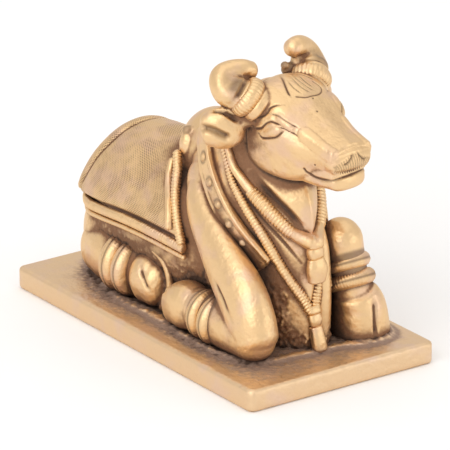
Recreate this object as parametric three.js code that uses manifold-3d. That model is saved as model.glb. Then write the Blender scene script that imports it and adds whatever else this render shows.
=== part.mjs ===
// A cast brass bull lying on a thin rectangular slab: a nandi, the bull that faces a shrine.
// The bull and its slab are one casting. Millimetres, +X along the bull's body towards its chest,
// +Y to the bull's left, +Z up. The origin is the centre of the slab's underside.
import * as THREE from "three";
import { mergeVertices } from "three/addons/utils/BufferGeometryUtils.js";
import Module from "manifold-3d";

const wasm = await Module();
wasm.setup();

// Driving sizes of the slab.
const slabThickness = 4.3;
const slabCornerRadius = 2.4;
const slabEdgeRound = 0.5;
const slabMarginFront = 7;
const slabMarginRear = 2.4;
const slabMarginSide = 3.25;

// Driving size of the bull, from the slab's top to the top of its horns. The figure's own forms
// are written for a bull 55 mm high, and unit takes each of their lengths to bullHeight.
const bullHeight = 55;
const unit = bullHeight / 55;

// The ground that the figure covers, from its rump to its raised hoof, and half its breadth.
const footprint = { rear: -35.6, front: 31, halfBreadth: 17.5 };
const slabLength = (footprint.front - footprint.rear) * unit + slabMarginFront + slabMarginRear;
const slabWidth = 2 * (footprint.halfBreadth * unit + slabMarginSide);
const figureShift = slabMarginRear - slabLength / 2 - footprint.rear * unit;

// A place on the figure: along the bull, across it to its left, and above the slab's top.
function place(along, across, height) {
  return new THREE.Vector3(
    figureShift + along * unit,
    across * unit,
    slabThickness + height * unit,
  );
}

// The head is a frame of its own, turned a little to the bull's left about the line of its horns.
const headRoot = { along: 18.9, across: 0.5 };
const headTurn = (5.5 * Math.PI) / 180;
function headPlace(forward, left, height) {
  return place(
    headRoot.along + forward * Math.cos(headTurn) - left * Math.sin(headTurn),
    headRoot.across + forward * Math.sin(headTurn) + left * Math.cos(headTurn),
    height,
  );
}

// Turns a closed geometry into a solid that can be joined and cut.
function solid(geometry) {
  const bare = geometry.clone();
  bare.deleteAttribute("normal");
  bare.deleteAttribute("uv");
  const merged = mergeVertices(bare, 1e-4);
  return new wasm.Manifold(
    new wasm.Mesh({
      numProp: 3,
      vertProperties: merged.attributes.position.array,
      triVerts: merged.index.array,
    }),
  );
}

// Draws a sphere's grid of faces over a row of rings. Each ring is a function that gives the
// point at a turn from 0 to 1 round it, and ends are the two points that close the form.
function loft(rings, ends, around) {
  const form = new THREE.SphereGeometry(1, around, rings.length + 1);
  const position = form.getAttribute("position");
  for (let row = 0; row <= rings.length + 1; row += 1) {
    for (let step = 0; step <= around; step += 1) {
      let point = row === 0 ? ends[0] : ends[1];
      if (row > 0 && row <= rings.length) {
        point = rings[row - 1]((step % around) / around);
      }
      position.setXYZ(row * (around + 1) + step, point.x, point.y, point.z);
    }
  }
  return solid(form);
}

// A power curve round an oval: 1 gives a diamond's corner, 2 an ellipse's and more a box's.
const swell = (value, power) => Math.sign(value) * Math.abs(value) ** (2 / power);

// A limb follows a curve through its stations. Each station is a point, the half width to its
// side and the half width to its upper side, and the two ends are rounded.
function limb(stations, { up, around = 10, along = 8, power = 2, blunt = [1, 1], caps = 2 }) {
  const path = new THREE.CatmullRomCurve3(stations.map((station) => station[0]));
  path.curveType = "catmullrom";
  const girth = new THREE.CatmullRomCurve3(
    stations.map(([, wide, tall]) => new THREE.Vector3(wide, tall, 0).multiplyScalar(unit)),
  );
  girth.curveType = "catmullrom";
  const ring = (t, reach, shrink) => {
    const forward = path.getTangent(t);
    const upper = up.clone().addScaledVector(forward, -up.dot(forward)).normalize();
    const side = new THREE.Vector3().crossVectors(forward, upper);
    const half = girth.getPoint(t);
    const centre = path.getPoint(t).addScaledVector(forward, reach * Math.min(half.x, half.y));
    const point = (turn) => {
      const angle = 2 * Math.PI * turn;
      return centre
        .clone()
        .addScaledVector(side, half.x * shrink * swell(Math.cos(angle), power))
        .addScaledVector(upper, half.y * shrink * swell(Math.sin(angle), power));
    };
    point.centre = centre;
    return point;
  };
  const rings = [];
  const capAngles = (caps === 2 ? [62, 34] : [48]).map((angle) => (angle * Math.PI) / 180);
  capAngles.forEach((angle) => rings.push(ring(0, -blunt[0] * Math.sin(angle), Math.cos(angle))));
  for (let i = 0; i <= along; i += 1) {
    rings.push(ring(i / along, 0, 1));
  }
  capAngles
    .reverse()
    .forEach((angle) => rings.push(ring(1, blunt[1] * Math.sin(angle), Math.cos(angle))));
  const ends = [ring(0, -blunt[0], 0).centre, ring(1, blunt[1], 0).centre];
  return loft(rings, ends, around);
}

// An egg: a sphere stretched to three half lengths, turned about the vertical and tipped.
function egg(centre, halves, { turn = 0, tip = 0, around = 12, along = 8 } = {}) {
  const form = new THREE.SphereGeometry(1, around, along);
  form.scale(halves[0] * unit, halves[1] * unit, halves[2] * unit);
  form.rotateY((tip * Math.PI) / 180);
  form.rotateZ((turn * Math.PI) / 180);
  form.translate(centre.x, centre.y, centre.z);
  return solid(form);
}

const upward = new THREE.Vector3(0, 0, 1);
const leftward = new THREE.Vector3(0, 1, 0);

// The slab: a rectangle with rounded corners and softly worn edges.
function slab() {
  const halfLength = slabLength / 2 - slabEdgeRound;
  const halfWidth = slabWidth / 2 - slabEdgeRound;
  const radius = slabCornerRadius - slabEdgeRound;
  const outline = new THREE.Shape();
  outline.moveTo(halfLength, halfWidth - radius);
  outline.absarc(halfLength - radius, halfWidth - radius, radius, 0, Math.PI / 2);
  outline.absarc(radius - halfLength, halfWidth - radius, radius, Math.PI / 2, Math.PI);
  outline.absarc(radius - halfLength, radius - halfWidth, radius, Math.PI, 1.5 * Math.PI);
  outline.absarc(halfLength - radius, radius - halfWidth, radius, 1.5 * Math.PI, 2 * Math.PI);
  const form = new THREE.ExtrudeGeometry(outline, {
    depth: slabThickness - 2 * slabEdgeRound,
    bevelThickness: slabEdgeRound,
    bevelSize: slabEdgeRound,
    bevelSegments: 1,
    curveSegments: 3,
  });
  form.translate(0, 0, slabEdgeRound);
  return solid(form);
}

// Stations of the body: along, half breadth, height of the back, height of the widest line.
const bodyStations = [
  [-34.6, 4.6, 17.0, 11.0],
  [-33.4, 8.0, 21.0, 12.0],
  [-30.6, 10.8, 25.0, 12.6],
  [-26.0, 12.6, 27.9, 13.2],
  [-18.0, 13.4, 29.1, 13.6],
  [-9.0, 13.2, 28.8, 14.0],
  [0.0, 12.4, 29.6, 15.0],
  [8.0, 10.8, 32.0, 17.0],
  [15.0, 7.4, 32.0, 18.0],
];
const bodyUnder = -1.5;
const bodyPower = 2.15;
const bodyCurves = [
  bodyStations.map(([along, half]) => new THREE.Vector3(along, half, 0)),
  bodyStations.map(([, , back, widest]) => new THREE.Vector3(back, widest, 0)),
].map((points) => new THREE.CatmullRomCurve3(points, false, "catmullrom"));

// A point of the body's skin: t runs from the rump to the chest, angle from the right side over
// the back to the left, and proud lifts the point off the skin.
function bodySkin(t, angle, proud = 0) {
  const { x: along, y: half } = bodyCurves[0].getPoint(t);
  const { x: back, y: widest } = bodyCurves[1].getPoint(t);
  const rise = Math.sin(angle) > 0 ? back - widest : widest - bodyUnder;
  return place(
    along,
    -(half + proud) * swell(Math.cos(angle), bodyPower),
    widest + (rise + proud) * swell(Math.sin(angle), bodyPower),
  );
}

function bodyLoft(proud, rows, around) {
  const rings = [];
  for (let i = 0; i <= rows; i += 1) {
    rings.push((turn) => bodySkin(i / rows, 2 * Math.PI * turn, proud));
  }
  const rump = place(bodyStations[0][0] - 0.8 - proud, 0, 12);
  const chest = place(bodyStations[bodyStations.length - 1][0] + 2, 0, 17);
  return loft(rings, [rump, chest], around);
}

function body() {
  return bodyLoft(0, 10, 14);
}

// The hump over the shoulders, and the small knot that lies behind it on the bull's right.
function hump() {
  const mound = egg(place(-1.2, 0, 29.6), [9.4, 7.8, 8.6], { around: 12, along: 7 });
  const knot = egg(place(-4.4, -6.4, 32.2), [1.6, 1.6, 2.8], { around: 6, along: 4 });
  return mound.add(knot);
}

// The saddle cloth: a second skin over the back, cut off above the hem and behind the hump.
const clothProud = 0.9;
const hemHeight = 16.2;
const clothRear = -31.6;
const clothFrontAtBack = -9;
const clothFrontAtHem = 4.5;
const clothTop = 36;
function saddleCloth() {
  const skin = bodyLoft(clothProud, 12, 20);
  const side = new THREE.Shape();
  const corners = [
    [clothRear, hemHeight - 0.8],
    [clothFrontAtHem, hemHeight + 1],
    [clothFrontAtBack, clothTop],
    [clothRear, clothTop],
  ];
  corners.forEach(([along, height], i) => {
    const corner = place(along, 0, height);
    if (i === 0) {
      side.moveTo(corner.x, corner.z);
    } else {
      side.lineTo(corner.x, corner.z);
    }
  });
  const slice = new THREE.ExtrudeGeometry(side, { depth: 40 * unit, bevelEnabled: false });
  slice.rotateX(Math.PI / 2);
  slice.translate(0, 20 * unit, 0);
  return skin.intersect(solid(slice));
}

// The neck and the keel of the chest: bow-shaped level rings from the slab up to the poll.
// Each station: height, foremost point, hindmost point and half breadth.
const neckStations = [
  [-1.0, 27.6, 4, 7.4],
  [6.0, 27.8, 4, 7.8],
  [14.0, 28.0, 3, 8.4],
  [22.0, 28.2, 2, 8.8],
  [28.0, 27.6, 1, 9.0],
  [33.0, 25.0, 1, 8.8],
  [38.0, 22.5, 3, 8.0],
  [43.0, 20.5, 8, 7.0],
  [47.0, 18.5, 11.5, 5.6],
];
const keelPower = 1.35;
const neckCurves = [
  neckStations.map(([height, front]) => new THREE.Vector3(height, front, 0)),
  neckStations.map(([, , rear, half]) => new THREE.Vector3(rear, half, 0)),
].map((points) => new THREE.CatmullRomCurve3(points, false, "catmullrom"));

// A point of the neck's skin: t runs from the slab to the poll, angle from the keel's edge round
// the bull's right side to the back of the neck.
function neckSkin(t, angle, proud = 0) {
  const { x: height, y: front } = neckCurves[0].getPoint(t);
  const { x: rear, y: half } = neckCurves[1].getPoint(t);
  const middle = (front + rear) / 2;
  const reach = (front - rear) / 2;
  const power = Math.cos(angle) > 0 ? keelPower : 2;
  return place(
    middle + (reach + proud) * swell(Math.cos(angle), power),
    -(half + proud) * swell(Math.sin(angle), power),
    height,
  );
}

function neck() {
  const rows = 8;
  const rings = [];
  for (let i = 0; i <= rows; i += 1) {
    rings.push((turn) => neckSkin(i / rows, 2 * Math.PI * turn));
  }
  return loft(rings, [place(16, 0, -1.2), place(15, 0, 47.6)], 16);
}

// The head: sections across it. Each station: forward, height of the brow line's middle, half
// breadth and height of the ridge over the eye, of the cheek, and of the jaw, then the underside.
const headStations = [
  [-6.5, 46.0, 4.0, 45.0, 6.4, 41.0, 5.0, 36.0, 33.5],
  [-3.5, 49.2, 5.2, 48.2, 7.6, 43.8, 6.2, 35.4, 32.8],
  [0.0, 50.4, 5.8, 49.4, 8.2, 44.2, 6.4, 34.8, 32.4],
  [4.0, 49.4, 5.8, 48.0, 8.2, 43.6, 6.2, 34.6, 32.4],
  [7.0, 47.2, 5.5, 46.2, 7.8, 42.6, 5.8, 34.6, 32.6],
  [10.0, 45.0, 4.7, 43.8, 6.4, 40.4, 5.0, 34.8, 33.0],
  [13.0, 43.1, 4.1, 41.9, 5.0, 39.0, 3.9, 35.6, 33.8],
  [15.6, 42.0, 3.9, 41.0, 4.3, 39.0, 3.1, 36.4, 34.6],
  [17.2, 41.4, 3.6, 40.4, 3.8, 39.0, 2.8, 36.8, 35.4],
];
const headCurves = [1, 3, 5, 7].map((column) => {
  const points = headStations.map((station) => (
    new THREE.Vector3(station[0], station[column], station[column + 1])
  ));
  return new THREE.CatmullRomCurve3(points, false, "catmullrom");
});

// A point of the head's skin: t from the poll to the muzzle, turn round it from the brow line.
function headSkin(t, turn) {
  const [first, second, third, fourth] = headCurves.map((curve) => curve.getPoint(t));
  const corners = [
    [0, first.y],
    [first.z, second.y],
    [second.z, third.y],
    [third.z, fourth.y],
    [0, fourth.z],
  ];
  const half = turn <= 0.5 ? turn * 2 : (1 - turn) * 2;
  const shares = [0, 0.25, 0.5, 0.75, 1];
  const from = half >= 1 ? 3 : shares.findIndex((share, i) => half < shares[i + 1]);
  const share = (half - shares[from]) / (shares[from + 1] - shares[from]);
  const left = corners[from][0] + (corners[from + 1][0] - corners[from][0]) * share;
  const height = corners[from][1] + (corners[from + 1][1] - corners[from][1]) * share;
  return headPlace(first.x, turn <= 0.5 ? left : -left, height);
}

function skull() {
  const rows = 10;
  const rings = [];
  for (let i = 0; i <= rows; i += 1) {
    rings.push((turn) => headSkin(i / rows, turn));
  }
  return loft(rings, [headPlace(-7.4, 0, 40), headPlace(18, 0, 38)], 16);
}

function muzzle() {
  const across = (forward, height, halfGap, long, tall) => limb(
    [-1, 0, 1].map((share) => (
      [headPlace(forward - 0.5 * share * share, halfGap * share, height), long, tall]
    )),
    { up: upward, around: 10, along: 3, power: 2.3, blunt: [0.9, 0.9], caps: 1 },
  );
  return across(16.4, 39.2, 2.9, 2.6, 2.5).add(across(14.9, 35.2, 2.1, 2.9, 1.8));
}

// Horns and ears: side is 1 for the bull's left and -1 for its right.
const heading = new THREE.Vector3(Math.cos(headTurn), Math.sin(headTurn), 0);
function horn(side) {
  const points = [
    [1.0, 6.4, 47.6, 2.6],
    [-1.6, 9.0, 48.4, 2.9],
    [-4.4, 10.5, 49.0, 2.9],
    [-5.8, 10.4, 51.0, 2.5],
    [-5.2, 8.4, 52.4, 2.1],
    [-4.4, 6.0, 52.5, 1.8],
  ];
  const stations = points.map(([forward, left, height, radius]) => (
    [headPlace(forward, side * left, height), radius, radius]
  ));
  return limb(stations, { up: heading, around: 8, along: 7, caps: 1 });
}

function hornRing(side) {
  const stations = [
    [headPlace(1.4, side * 6.0, 47.2), 3.0, 3.0],
    [headPlace(0.4, side * 7.2, 47.9), 3.7, 3.7],
    [headPlace(-0.4, side * 8.3, 48.4), 3.0, 3.0],
  ];
  return limb(stations, { up: upward, around: 9, along: 2, blunt: [0.3, 0.3], caps: 1 });
}

function ear(side) {
  const stations = [
    [headPlace(0.2, side * 7.4, 42.4), 1.6, 2.0],
    [headPlace(-1.4, side * 8.8, 42.2), 1.9, 2.6],
    [headPlace(-2.8, side * 10.6, 41.8), 2.6, 4.0],
    [headPlace(-4.6, side * 12.6, 41.6), 2.5, 4.0],
    [headPlace(-5.6, side * 13.8, 41.4), 2.0, 3.0],
  ];
  return limb(stations, { up: upward, around: 8, along: 5, blunt: [0.5, 0.6], caps: 1 });
}

function head() {
  const turn = (headTurn * 180) / Math.PI;
  let whole = skull().add(muzzle());
  [1, -1].forEach((side) => {
    const eye = egg(headPlace(5.6, side * 7.6, 43.2), [1.7, 0.9, 1.0], {
      turn,
      around: 7,
      along: 4,
    });
    const hollow = egg(headPlace(-2.4, side * 13.2, 41.8), [3.0, 2.0, 1.1], {
      turn: turn + side * 40,
      around: 7,
      along: 5,
    });
    whole = whole.add(horn(side)).add(hornRing(side)).add(ear(side).subtract(hollow)).add(eye);
  });
  return whole;
}

// The cleft of a hoof: a thin upright wedge cut out of its front.
function cleft(centre, size, turn) {
  const form = new THREE.BoxGeometry(size[0] * unit, size[1] * unit, size[2] * unit);
  form.rotateZ((turn * Math.PI) / 180);
  form.translate(centre.x, centre.y, centre.z);
  return solid(form);
}

// A leg's ring: a barrel across the limb at a point, along a direction.
const ankletBulge = 0.35;
function anklet(centre, direction, radius, halfLength, up = upward) {
  const step = direction.clone().normalize().multiplyScalar(halfLength * unit);
  const stations = [-1, 0, 1].map((share) => {
    const half = radius - ankletBulge * Math.abs(share);
    return [centre.clone().addScaledVector(step, share), half, half];
  });
  return limb(stations, { up, around: 9, along: 2, blunt: [0.25, 0.25], caps: 1 });
}

// The right foreleg: a smooth upper arm down to the knee on the slab, and the lower leg folded
// back under it to the hoof.
function rightForeleg() {
  const arm = limb(
    [
      [place(2.5, -6.3, 28), 4.4, 4.0],
      [place(7.5, -8.7, 24), 4.8, 4.2],
      [place(14.2, -10.6, 17.8), 5.6, 4.2],
      [place(20.8, -11.2, 11.2), 6.2, 4.2],
      [place(25.2, -11.2, 5.4), 5.6, 4.2],
    ],
    { up: leftward, around: 10, along: 7, blunt: [1, 0.7], caps: 1 },
  );
  const shank = limb(
    [
      [place(25.5, -11.2, 4.6), 4.8, 4.1],
      [place(19, -11.9, 4.6), 5.0, 4.0],
      [place(14, -12.2, 4.6), 4.4, 3.7],
      [place(10.5, -12.3, 4.8), 4.2, 3.6],
    ],
    { up: leftward, around: 9, along: 3, caps: 1 },
  );
  const hoof = limb(
    [
      [place(9.4, -12.2, 4.8), 4.2, 3.7],
      [place(6.4, -12.4, 4.6), 4.6, 4.0],
      [place(3.6, -12.5, 3.8), 3.8, 3.4],
    ],
    { up: leftward, around: 9, along: 3, blunt: [0.4, 0.7], caps: 1 },
  );
  const back = new THREE.Vector3(-1, -0.04, 0);
  return arm.add(shank).add(hoof)
    .add(anklet(place(16.0, -12.1, 4.6), back, 4.9, 1.1))
    .add(anklet(place(12.6, -12.2, 4.7), back, 4.8, 1.0));
}

// The left foreleg: drawn up to a raised knee, with its hoof set on the slab.
function leftForeleg() {
  const arm = limb(
    [
      [place(3.5, 6.0, 27), 4.6, 4.2],
      [place(8, 8.6, 19.5), 5.2, 4.2],
      [place(13.5, 9.4, 12.2), 5.0, 4.2],
      [place(19.5, 9, 14.4), 4.4, 3.9],
      [place(24.6, 9.2, 18.4), 4.1, 3.9],
    ],
    { up: leftward, around: 9, along: 7, caps: 1 },
  );
  const shank = limb(
    [
      [place(24.6, 9.2, 18.4), 4.1, 3.9],
      [place(25.3, 10.2, 12.5), 3.6, 3.5],
      [place(25.8, 11.0, 8), 3.6, 3.5],
    ],
    { up: leftward, around: 9, along: 3, caps: 1 },
  );
  const hoof = limb(
    [
      [place(25.8, 11.6, 8.2), 4.2, 3.9],
      [place(25.9, 12.4, 5), 5.0, 4.6],
      [place(26.0, 12.8, 1.0), 5.5, 4.9],
    ],
    { up: leftward, around: 10, along: 3, blunt: [0.5, 0.3], caps: 1 },
  );
  const down = new THREE.Vector3(0.1, 0.16, -1);
  const split = cleft(place(30.6, 11.6, 4.4), [3, 0.9, 8], -10);
  return arm.add(shank).add(hoof.subtract(split))
    .add(anklet(place(25.2, 10.1, 13.5), down, 4.4, 1.0, leftward))
    .add(anklet(place(25.5, 10.7, 10.5), down, 4.6, 1.0, leftward));
}

// A hind leg: the haunch under the cloth's hem, and the lower leg lying forward to the hoof.
function hindLeg(side) {
  const haunch = egg(place(-24.5, side * 7.6, 8), [9.2, 5.6, 10], { around: 9, along: 6 });
  const shank = limb(
    [
      [place(-26.5, side * 9, 5.0), 4.0, 5.4],
      [place(-22, side * 10, 5.4), 4.2, 5.4],
      [place(-16, side * 10.6, 5.6), 3.8, 5.0],
      [place(-12, side * 10.6, 5.6), 3.8, 5.0],
    ],
    { up: upward, around: 8, along: 4, caps: 1 },
  );
  const hoof = limb(
    [
      [place(-12.5, side * 10.6, 5.6), 3.9, 4.6],
      [place(-9.0, side * 11.2, 5.2), 4.2, 5.2],
      [place(-5.5, side * 11.8, 4.2), 3.2, 3.8],
    ],
    { up: upward, around: 9, along: 3, blunt: [0.4, 0.9], caps: 1 },
  );
  const forward = new THREE.Vector3(1, -side * 0.1, 0);
  const split = cleft(place(-5.5, side * 13.2, 6.5), [7, 3, 0.9], side * 12);
  return haunch.add(shank).add(hoof.subtract(split))
    .add(anklet(place(-20.4, side * 10.2, 5.4), forward, 5.9, 1.2))
    .add(anklet(place(-16.4, side * 10.6, 5.5), forward, 5.6, 1.1));
}

// The tail: down the rump and forward along the left haunch.
function tail() {
  const stations = [
    [place(-33.2, 1.5, 20), 1.2, 1.2],
    [place(-34.6, 3.5, 13), 1.2, 1.2],
    [place(-33.0, 7.5, 6), 1.2, 1.2],
    [place(-28.5, 12.2, 2.4), 1.3, 1.3],
    [place(-22.5, 15.0, 1.8), 1.9, 1.7],
    [place(-18.5, 15.4, 1.4), 1.0, 1.0],
  ];
  return limb(stations, { up: leftward, around: 5, along: 6, caps: 1 });
}

// Cords of the harness. They lie in pairs, one on each side of the neck, and their points give
// along, distance from the middle, and height. Their broad face looks out from the neck.
function cord(points, side, halfBreadth, halfThickness) {
  const stations = points.map(([along, across, height]) => (
    [place(along, side * across, height), halfThickness, halfBreadth]
  ));
  return limb(stations, { up: new THREE.Vector3(0.6, 0, 0.8), around: 6, along: 5, caps: 1 });
}

const strapPoints = [
  [2.6, 6.0, 36.6],
  [5.6, 8.0, 35.2],
  [8.6, 9.3, 32.6],
  [12.0, 10.6, 28.2],
  [15.4, 10.8, 23.6],
  [18.8, 9.6, 19.4],
  [21.0, 7.6, 16.0],
];
const innerCordPoints = [
  [9.6, 8.0, 37.6],
  [11.6, 8.8, 34.2],
  [14.6, 8.9, 28.8],
  [20.9, 6.6, 21.2],
  [26.0, 3.0, 10.6],
  [28.2, 0.6, 7.2],
];
const outerCordPoints = [
  [12.4, 8.2, 36.2],
  [14.6, 8.7, 33.2],
  [18.2, 7.6, 29.6],
  [22.2, 5.6, 26.6],
  [25.6, 3.4, 23.8],
  [28.6, 0.8, 21.6],
];

// Domed studs stand on the outer half of each strap.
const studCount = 5;
const studRadius = 0.75;
const studFirst = 0.34;
const studLast = 0.9;
function studs(side) {
  const line = new THREE.CatmullRomCurve3(
    strapPoints.map(([along, across, height]) => (
      place(along, side * (across + studRadius), height + 0.2)
    )),
  );
  const row = [];
  for (let i = 0; i < studCount; i += 1) {
    const share = studFirst + ((studLast - studFirst) * i) / (studCount - 1);
    row.push(egg(line.getPoint(share), [studRadius, studRadius, studRadius], {
      around: 5,
      along: 3,
    }));
  }
  return row;
}

function harness() {
  const forms = [];
  [1, -1].forEach((side) => {
    forms.push(cord(strapPoints, side, 1.9, 0.8));
    forms.push(cord(innerCordPoints, side, 1.0, 1.0));
    forms.push(cord(outerCordPoints, side, 1.3, 1.3));
    forms.push(...studs(side));
  });
  const upperDrop = limb(
    [
      [place(28.4, 0.2, 21.6), 1.0, 1.9],
      [place(29.0, 0.2, 20.2), 1.2, 2.3],
      [place(29.0, 0.2, 18.6), 0.9, 1.5],
      [place(29.3, 0.2, 16.6), 1.2, 2.0],
      [place(29.2, 0.2, 14.2), 1.0, 1.6],
    ],
    { up: leftward, around: 7, along: 5, caps: 1 },
  );
  const lowerDrop = limb(
    [
      [place(28.2, 0.2, 8.2), 0.9, 1.5],
      [place(28.6, 0.2, 6.6), 1.1, 1.7],
      [place(28.6, 0.2, 5.4), 0.8, 1.1],
      [place(29.2, 0.3, 3.2), 1.1, 1.5],
      [place(29.6, 0.3, 0.6), 1.0, 1.4],
    ],
    { up: leftward, around: 7, along: 5, caps: 1 },
  );
  return [...forms, upperDrop, lowerDrop].reduce((whole, form) => whole.add(form));
}

// The share of the body's length at which its skin has a given place along the bull.
function bodyShare(along) {
  let low = 0;
  let high = 1;
  for (let step = 0; step < 24; step += 1) {
    const middle = (low + high) / 2;
    if (bodyCurves[0].getPoint(middle).x < along) {
      low = middle;
    } else {
      high = middle;
    }
  }
  return low;
}

// The body's skin at a height above the slab on one side, lifted by proud.
function skinAt(t, height, side, proud) {
  const { x: along, y: half } = bodyCurves[0].getPoint(t);
  const { x: back, y: widest } = bodyCurves[1].getPoint(t);
  const rise = height > widest ? back - widest : widest - bodyUnder;
  const climb = Math.min(Math.abs(height - widest) / rise, 1) ** (bodyPower / 2);
  const reach = Math.sqrt(1 - climb * climb) ** (2 / bodyPower);
  return { along, across: side * (half * reach + proud), height };
}

// Borders of the cloth: a band along the hem on each side, a cord down each front edge, and one
// over the rump. The hem runs between two shares of the body's length, a little higher in front.
const hemBand = { from: 0.06, to: 0.85, below: 1.6, climb: 0.8, proud: 0.4 };
const frontCordTop = 28.8;
const rumpCord = { angle: 0.35, proud: 0.1 };
const ahead = new THREE.Vector3(1, 0, 0);

function hem(side) {
  const stations = [0, 0.125, 0.25, 0.375, 0.5, 0.625, 0.75, 0.875, 1].map((share) => {
    const height = hemHeight - hemBand.below + hemBand.climb * share;
    const t = hemBand.from + (hemBand.to - hemBand.from) * share;
    const { along, across } = skinAt(t, height, side, hemBand.proud);
    return [place(along, across, height), 0.7, 1.5];
  });
  return limb(stations, { up: upward, around: 6, along: 7, blunt: [0.5, 0.5], caps: 1 });
}

function frontCord(side) {
  const stations = [-1, 2, 4.5, 7, 9.5].map((rise) => {
    const height = Math.min(hemHeight + rise * 1.33, frontCordTop);
    const share = (height - hemHeight) / (clothTop - hemHeight);
    const along = clothFrontAtHem + (clothFrontAtBack - clothFrontAtHem) * share;
    const { across } = skinAt(bodyShare(along), height, side, clothProud);
    return [place(along, across, height), 1.0, 1.0];
  });
  return limb(stations, { up: ahead, around: 5, along: 5, caps: 1 });
}

function clothBorders() {
  const rearShare = bodyShare(clothRear);
  const rear = [0, 0.125, 0.25, 0.375, 0.5, 0.625, 0.75, 0.875, 1].map((share) => {
    const angle = rumpCord.angle + (Math.PI - 2 * rumpCord.angle) * share;
    return [bodySkin(rearShare, angle, rumpCord.proud), 1.3, 1.1];
  });
  const overRump = limb(rear, { up: ahead, around: 5, along: 8, caps: 1 });
  return [hem(1), hem(-1), frontCord(1), frontCord(-1)].reduce(
    (whole, form) => whole.add(form),
    overRump,
  );
}

const forms = [
  slab(),
  body(),
  hump(),
  saddleCloth(),
  neck(),
  head(),
  rightForeleg(),
  leftForeleg(),
  hindLeg(-1),
  hindLeg(1),
  tail(),
  harness(),
  clothBorders(),
];
const figure = forms.reduce((whole, form) => whole.add(form));

function meshOf(name, manifold, material) {
  const { vertProperties, triVerts } = manifold.getMesh();
  const geometry = new THREE.BufferGeometry();
  geometry.setAttribute("position", new THREE.BufferAttribute(vertProperties, 3));
  geometry.setIndex(new THREE.BufferAttribute(triVerts, 1));
  geometry.computeVertexNormals();
  const mesh = new THREE.Mesh(geometry, material);
  mesh.name = name;
  return mesh;
}

const brass = new THREE.MeshStandardMaterial({ color: 0xb98a45, roughness: 0.38, metalness: 1 });
const group = new THREE.Group();
group.add(meshOf("nandi_bull_figure", figure, brass));

export default group;
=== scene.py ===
# %% [markdown]
# # A nandi cast in brass
#
# A nandi is the bull that lies facing a shrine. This small one was poured in brass in one piece
# with its slab. The caster filed and buffed the places that stand proud, punched a hatch into
# the saddle cloth, cut the face with a graver, and left the dark skin of the casting in the
# hollows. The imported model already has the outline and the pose, so this lesson starts from it
# and carves the same forms again, finely enough for the chasing to be real relief.

import math

import bmesh
import bpy
import numpy as np
from mathutils import Matrix, Vector, noise
from mathutils.bvhtree import BVHTree


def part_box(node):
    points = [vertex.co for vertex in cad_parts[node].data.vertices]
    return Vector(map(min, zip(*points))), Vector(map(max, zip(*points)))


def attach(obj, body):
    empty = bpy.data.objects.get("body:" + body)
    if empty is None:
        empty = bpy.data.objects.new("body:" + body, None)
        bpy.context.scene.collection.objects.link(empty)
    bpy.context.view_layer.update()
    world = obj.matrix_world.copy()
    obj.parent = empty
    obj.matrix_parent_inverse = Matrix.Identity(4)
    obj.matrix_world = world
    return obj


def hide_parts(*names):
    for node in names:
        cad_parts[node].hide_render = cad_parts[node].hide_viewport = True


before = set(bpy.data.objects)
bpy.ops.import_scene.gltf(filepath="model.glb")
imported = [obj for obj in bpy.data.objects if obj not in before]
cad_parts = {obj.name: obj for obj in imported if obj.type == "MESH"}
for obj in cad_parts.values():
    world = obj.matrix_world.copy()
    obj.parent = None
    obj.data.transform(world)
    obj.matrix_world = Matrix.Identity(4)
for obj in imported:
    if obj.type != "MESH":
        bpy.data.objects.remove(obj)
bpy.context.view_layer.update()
figure_low, figure_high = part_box("nandi_bull_figure")
print("the figure's box in metres", figure_low[:], figure_high[:])

# %% [markdown]
# ## Sizes
#
# The forms are drawn in millimetres, with heights counted from the slab's top, and the finished
# pieces are brought to metres at the end. The slab's length ties the drawing to the frame, so
# one drawn millimetre is the frame's length shared out over the drawing's. Each form lists a
# few stations, and a smooth curve goes through them.

# %% Sizes of the drawing
DRAWN_LENGTH = 76.0
MILLIMETRE = (figure_high.x - figure_low.x) / DRAWN_LENGTH
SLAB_WIDTH = (figure_high.y - figure_low.y) / MILLIMETRE
SLAB_THICKNESS = 4.3
SLAB_CORNER = 1.3
SLAB_EDGE = 0.55
COARSER = 1.0
SIDES = {"left": 1, "right": -1}
print("slab", DRAWN_LENGTH, "by", round(SLAB_WIDTH, 2), "by", SLAB_THICKNESS, "mm")


# %% [markdown]
# ## A form from a UV sphere
#
# A horn, a leg and the bull's body are all one kind of thing: rings in a row, closed at both
# ends. A UV sphere already has that grid of faces, with its seams and poles closed, so each form
# starts as one and its rings are moved to where the form needs them. The rings turn the same
# way round as the sphere's own, so the faces go on pointing outwards.


# %% Helpers that place rings
# A distance in millimetres, or a share, that is too small to see.
NUDGE = 1e-3


def through(stations, share):
    """A row of values on the smooth curve through the stations, at a share of the way along."""
    last = len(stations) - 1
    travelled = min(max(share, 0.0), 1.0) * last
    i = min(int(travelled), last - 1)
    s = travelled - i
    here, there = stations[i], stations[i + 1]
    before = stations[i - 1] if i > 0 else 2 * here - there
    after = stations[i + 2] if i + 2 <= last else 2 * there - here
    leaving = (there - before) / 2
    arriving = (after - here) / 2
    return (
        (2 * s**3 - 3 * s**2 + 1) * here
        + (s**3 - 2 * s**2 + s) * leaving
        + (3 * s**2 - 2 * s**3) * there
        + (s**3 - s**2) * arriving
    )


def swell(value, power):
    """A power curve round an oval: 1 gives a diamond's corner, 2 an ellipse's, more a box's."""
    return np.sign(value) * np.abs(value) ** (2 / power)


def angles(around):
    """The turns of that many points round a ring."""
    return 2 * math.pi * np.arange(around) / around


def join_form(bm, form):
    """Adds a form to the others. Each is drawn alone, because that is much quicker."""
    mesh = bpy.data.meshes.new("form")
    form.to_mesh(mesh)
    form.free()
    bm.from_mesh(mesh)
    bpy.data.meshes.remove(mesh)


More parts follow.
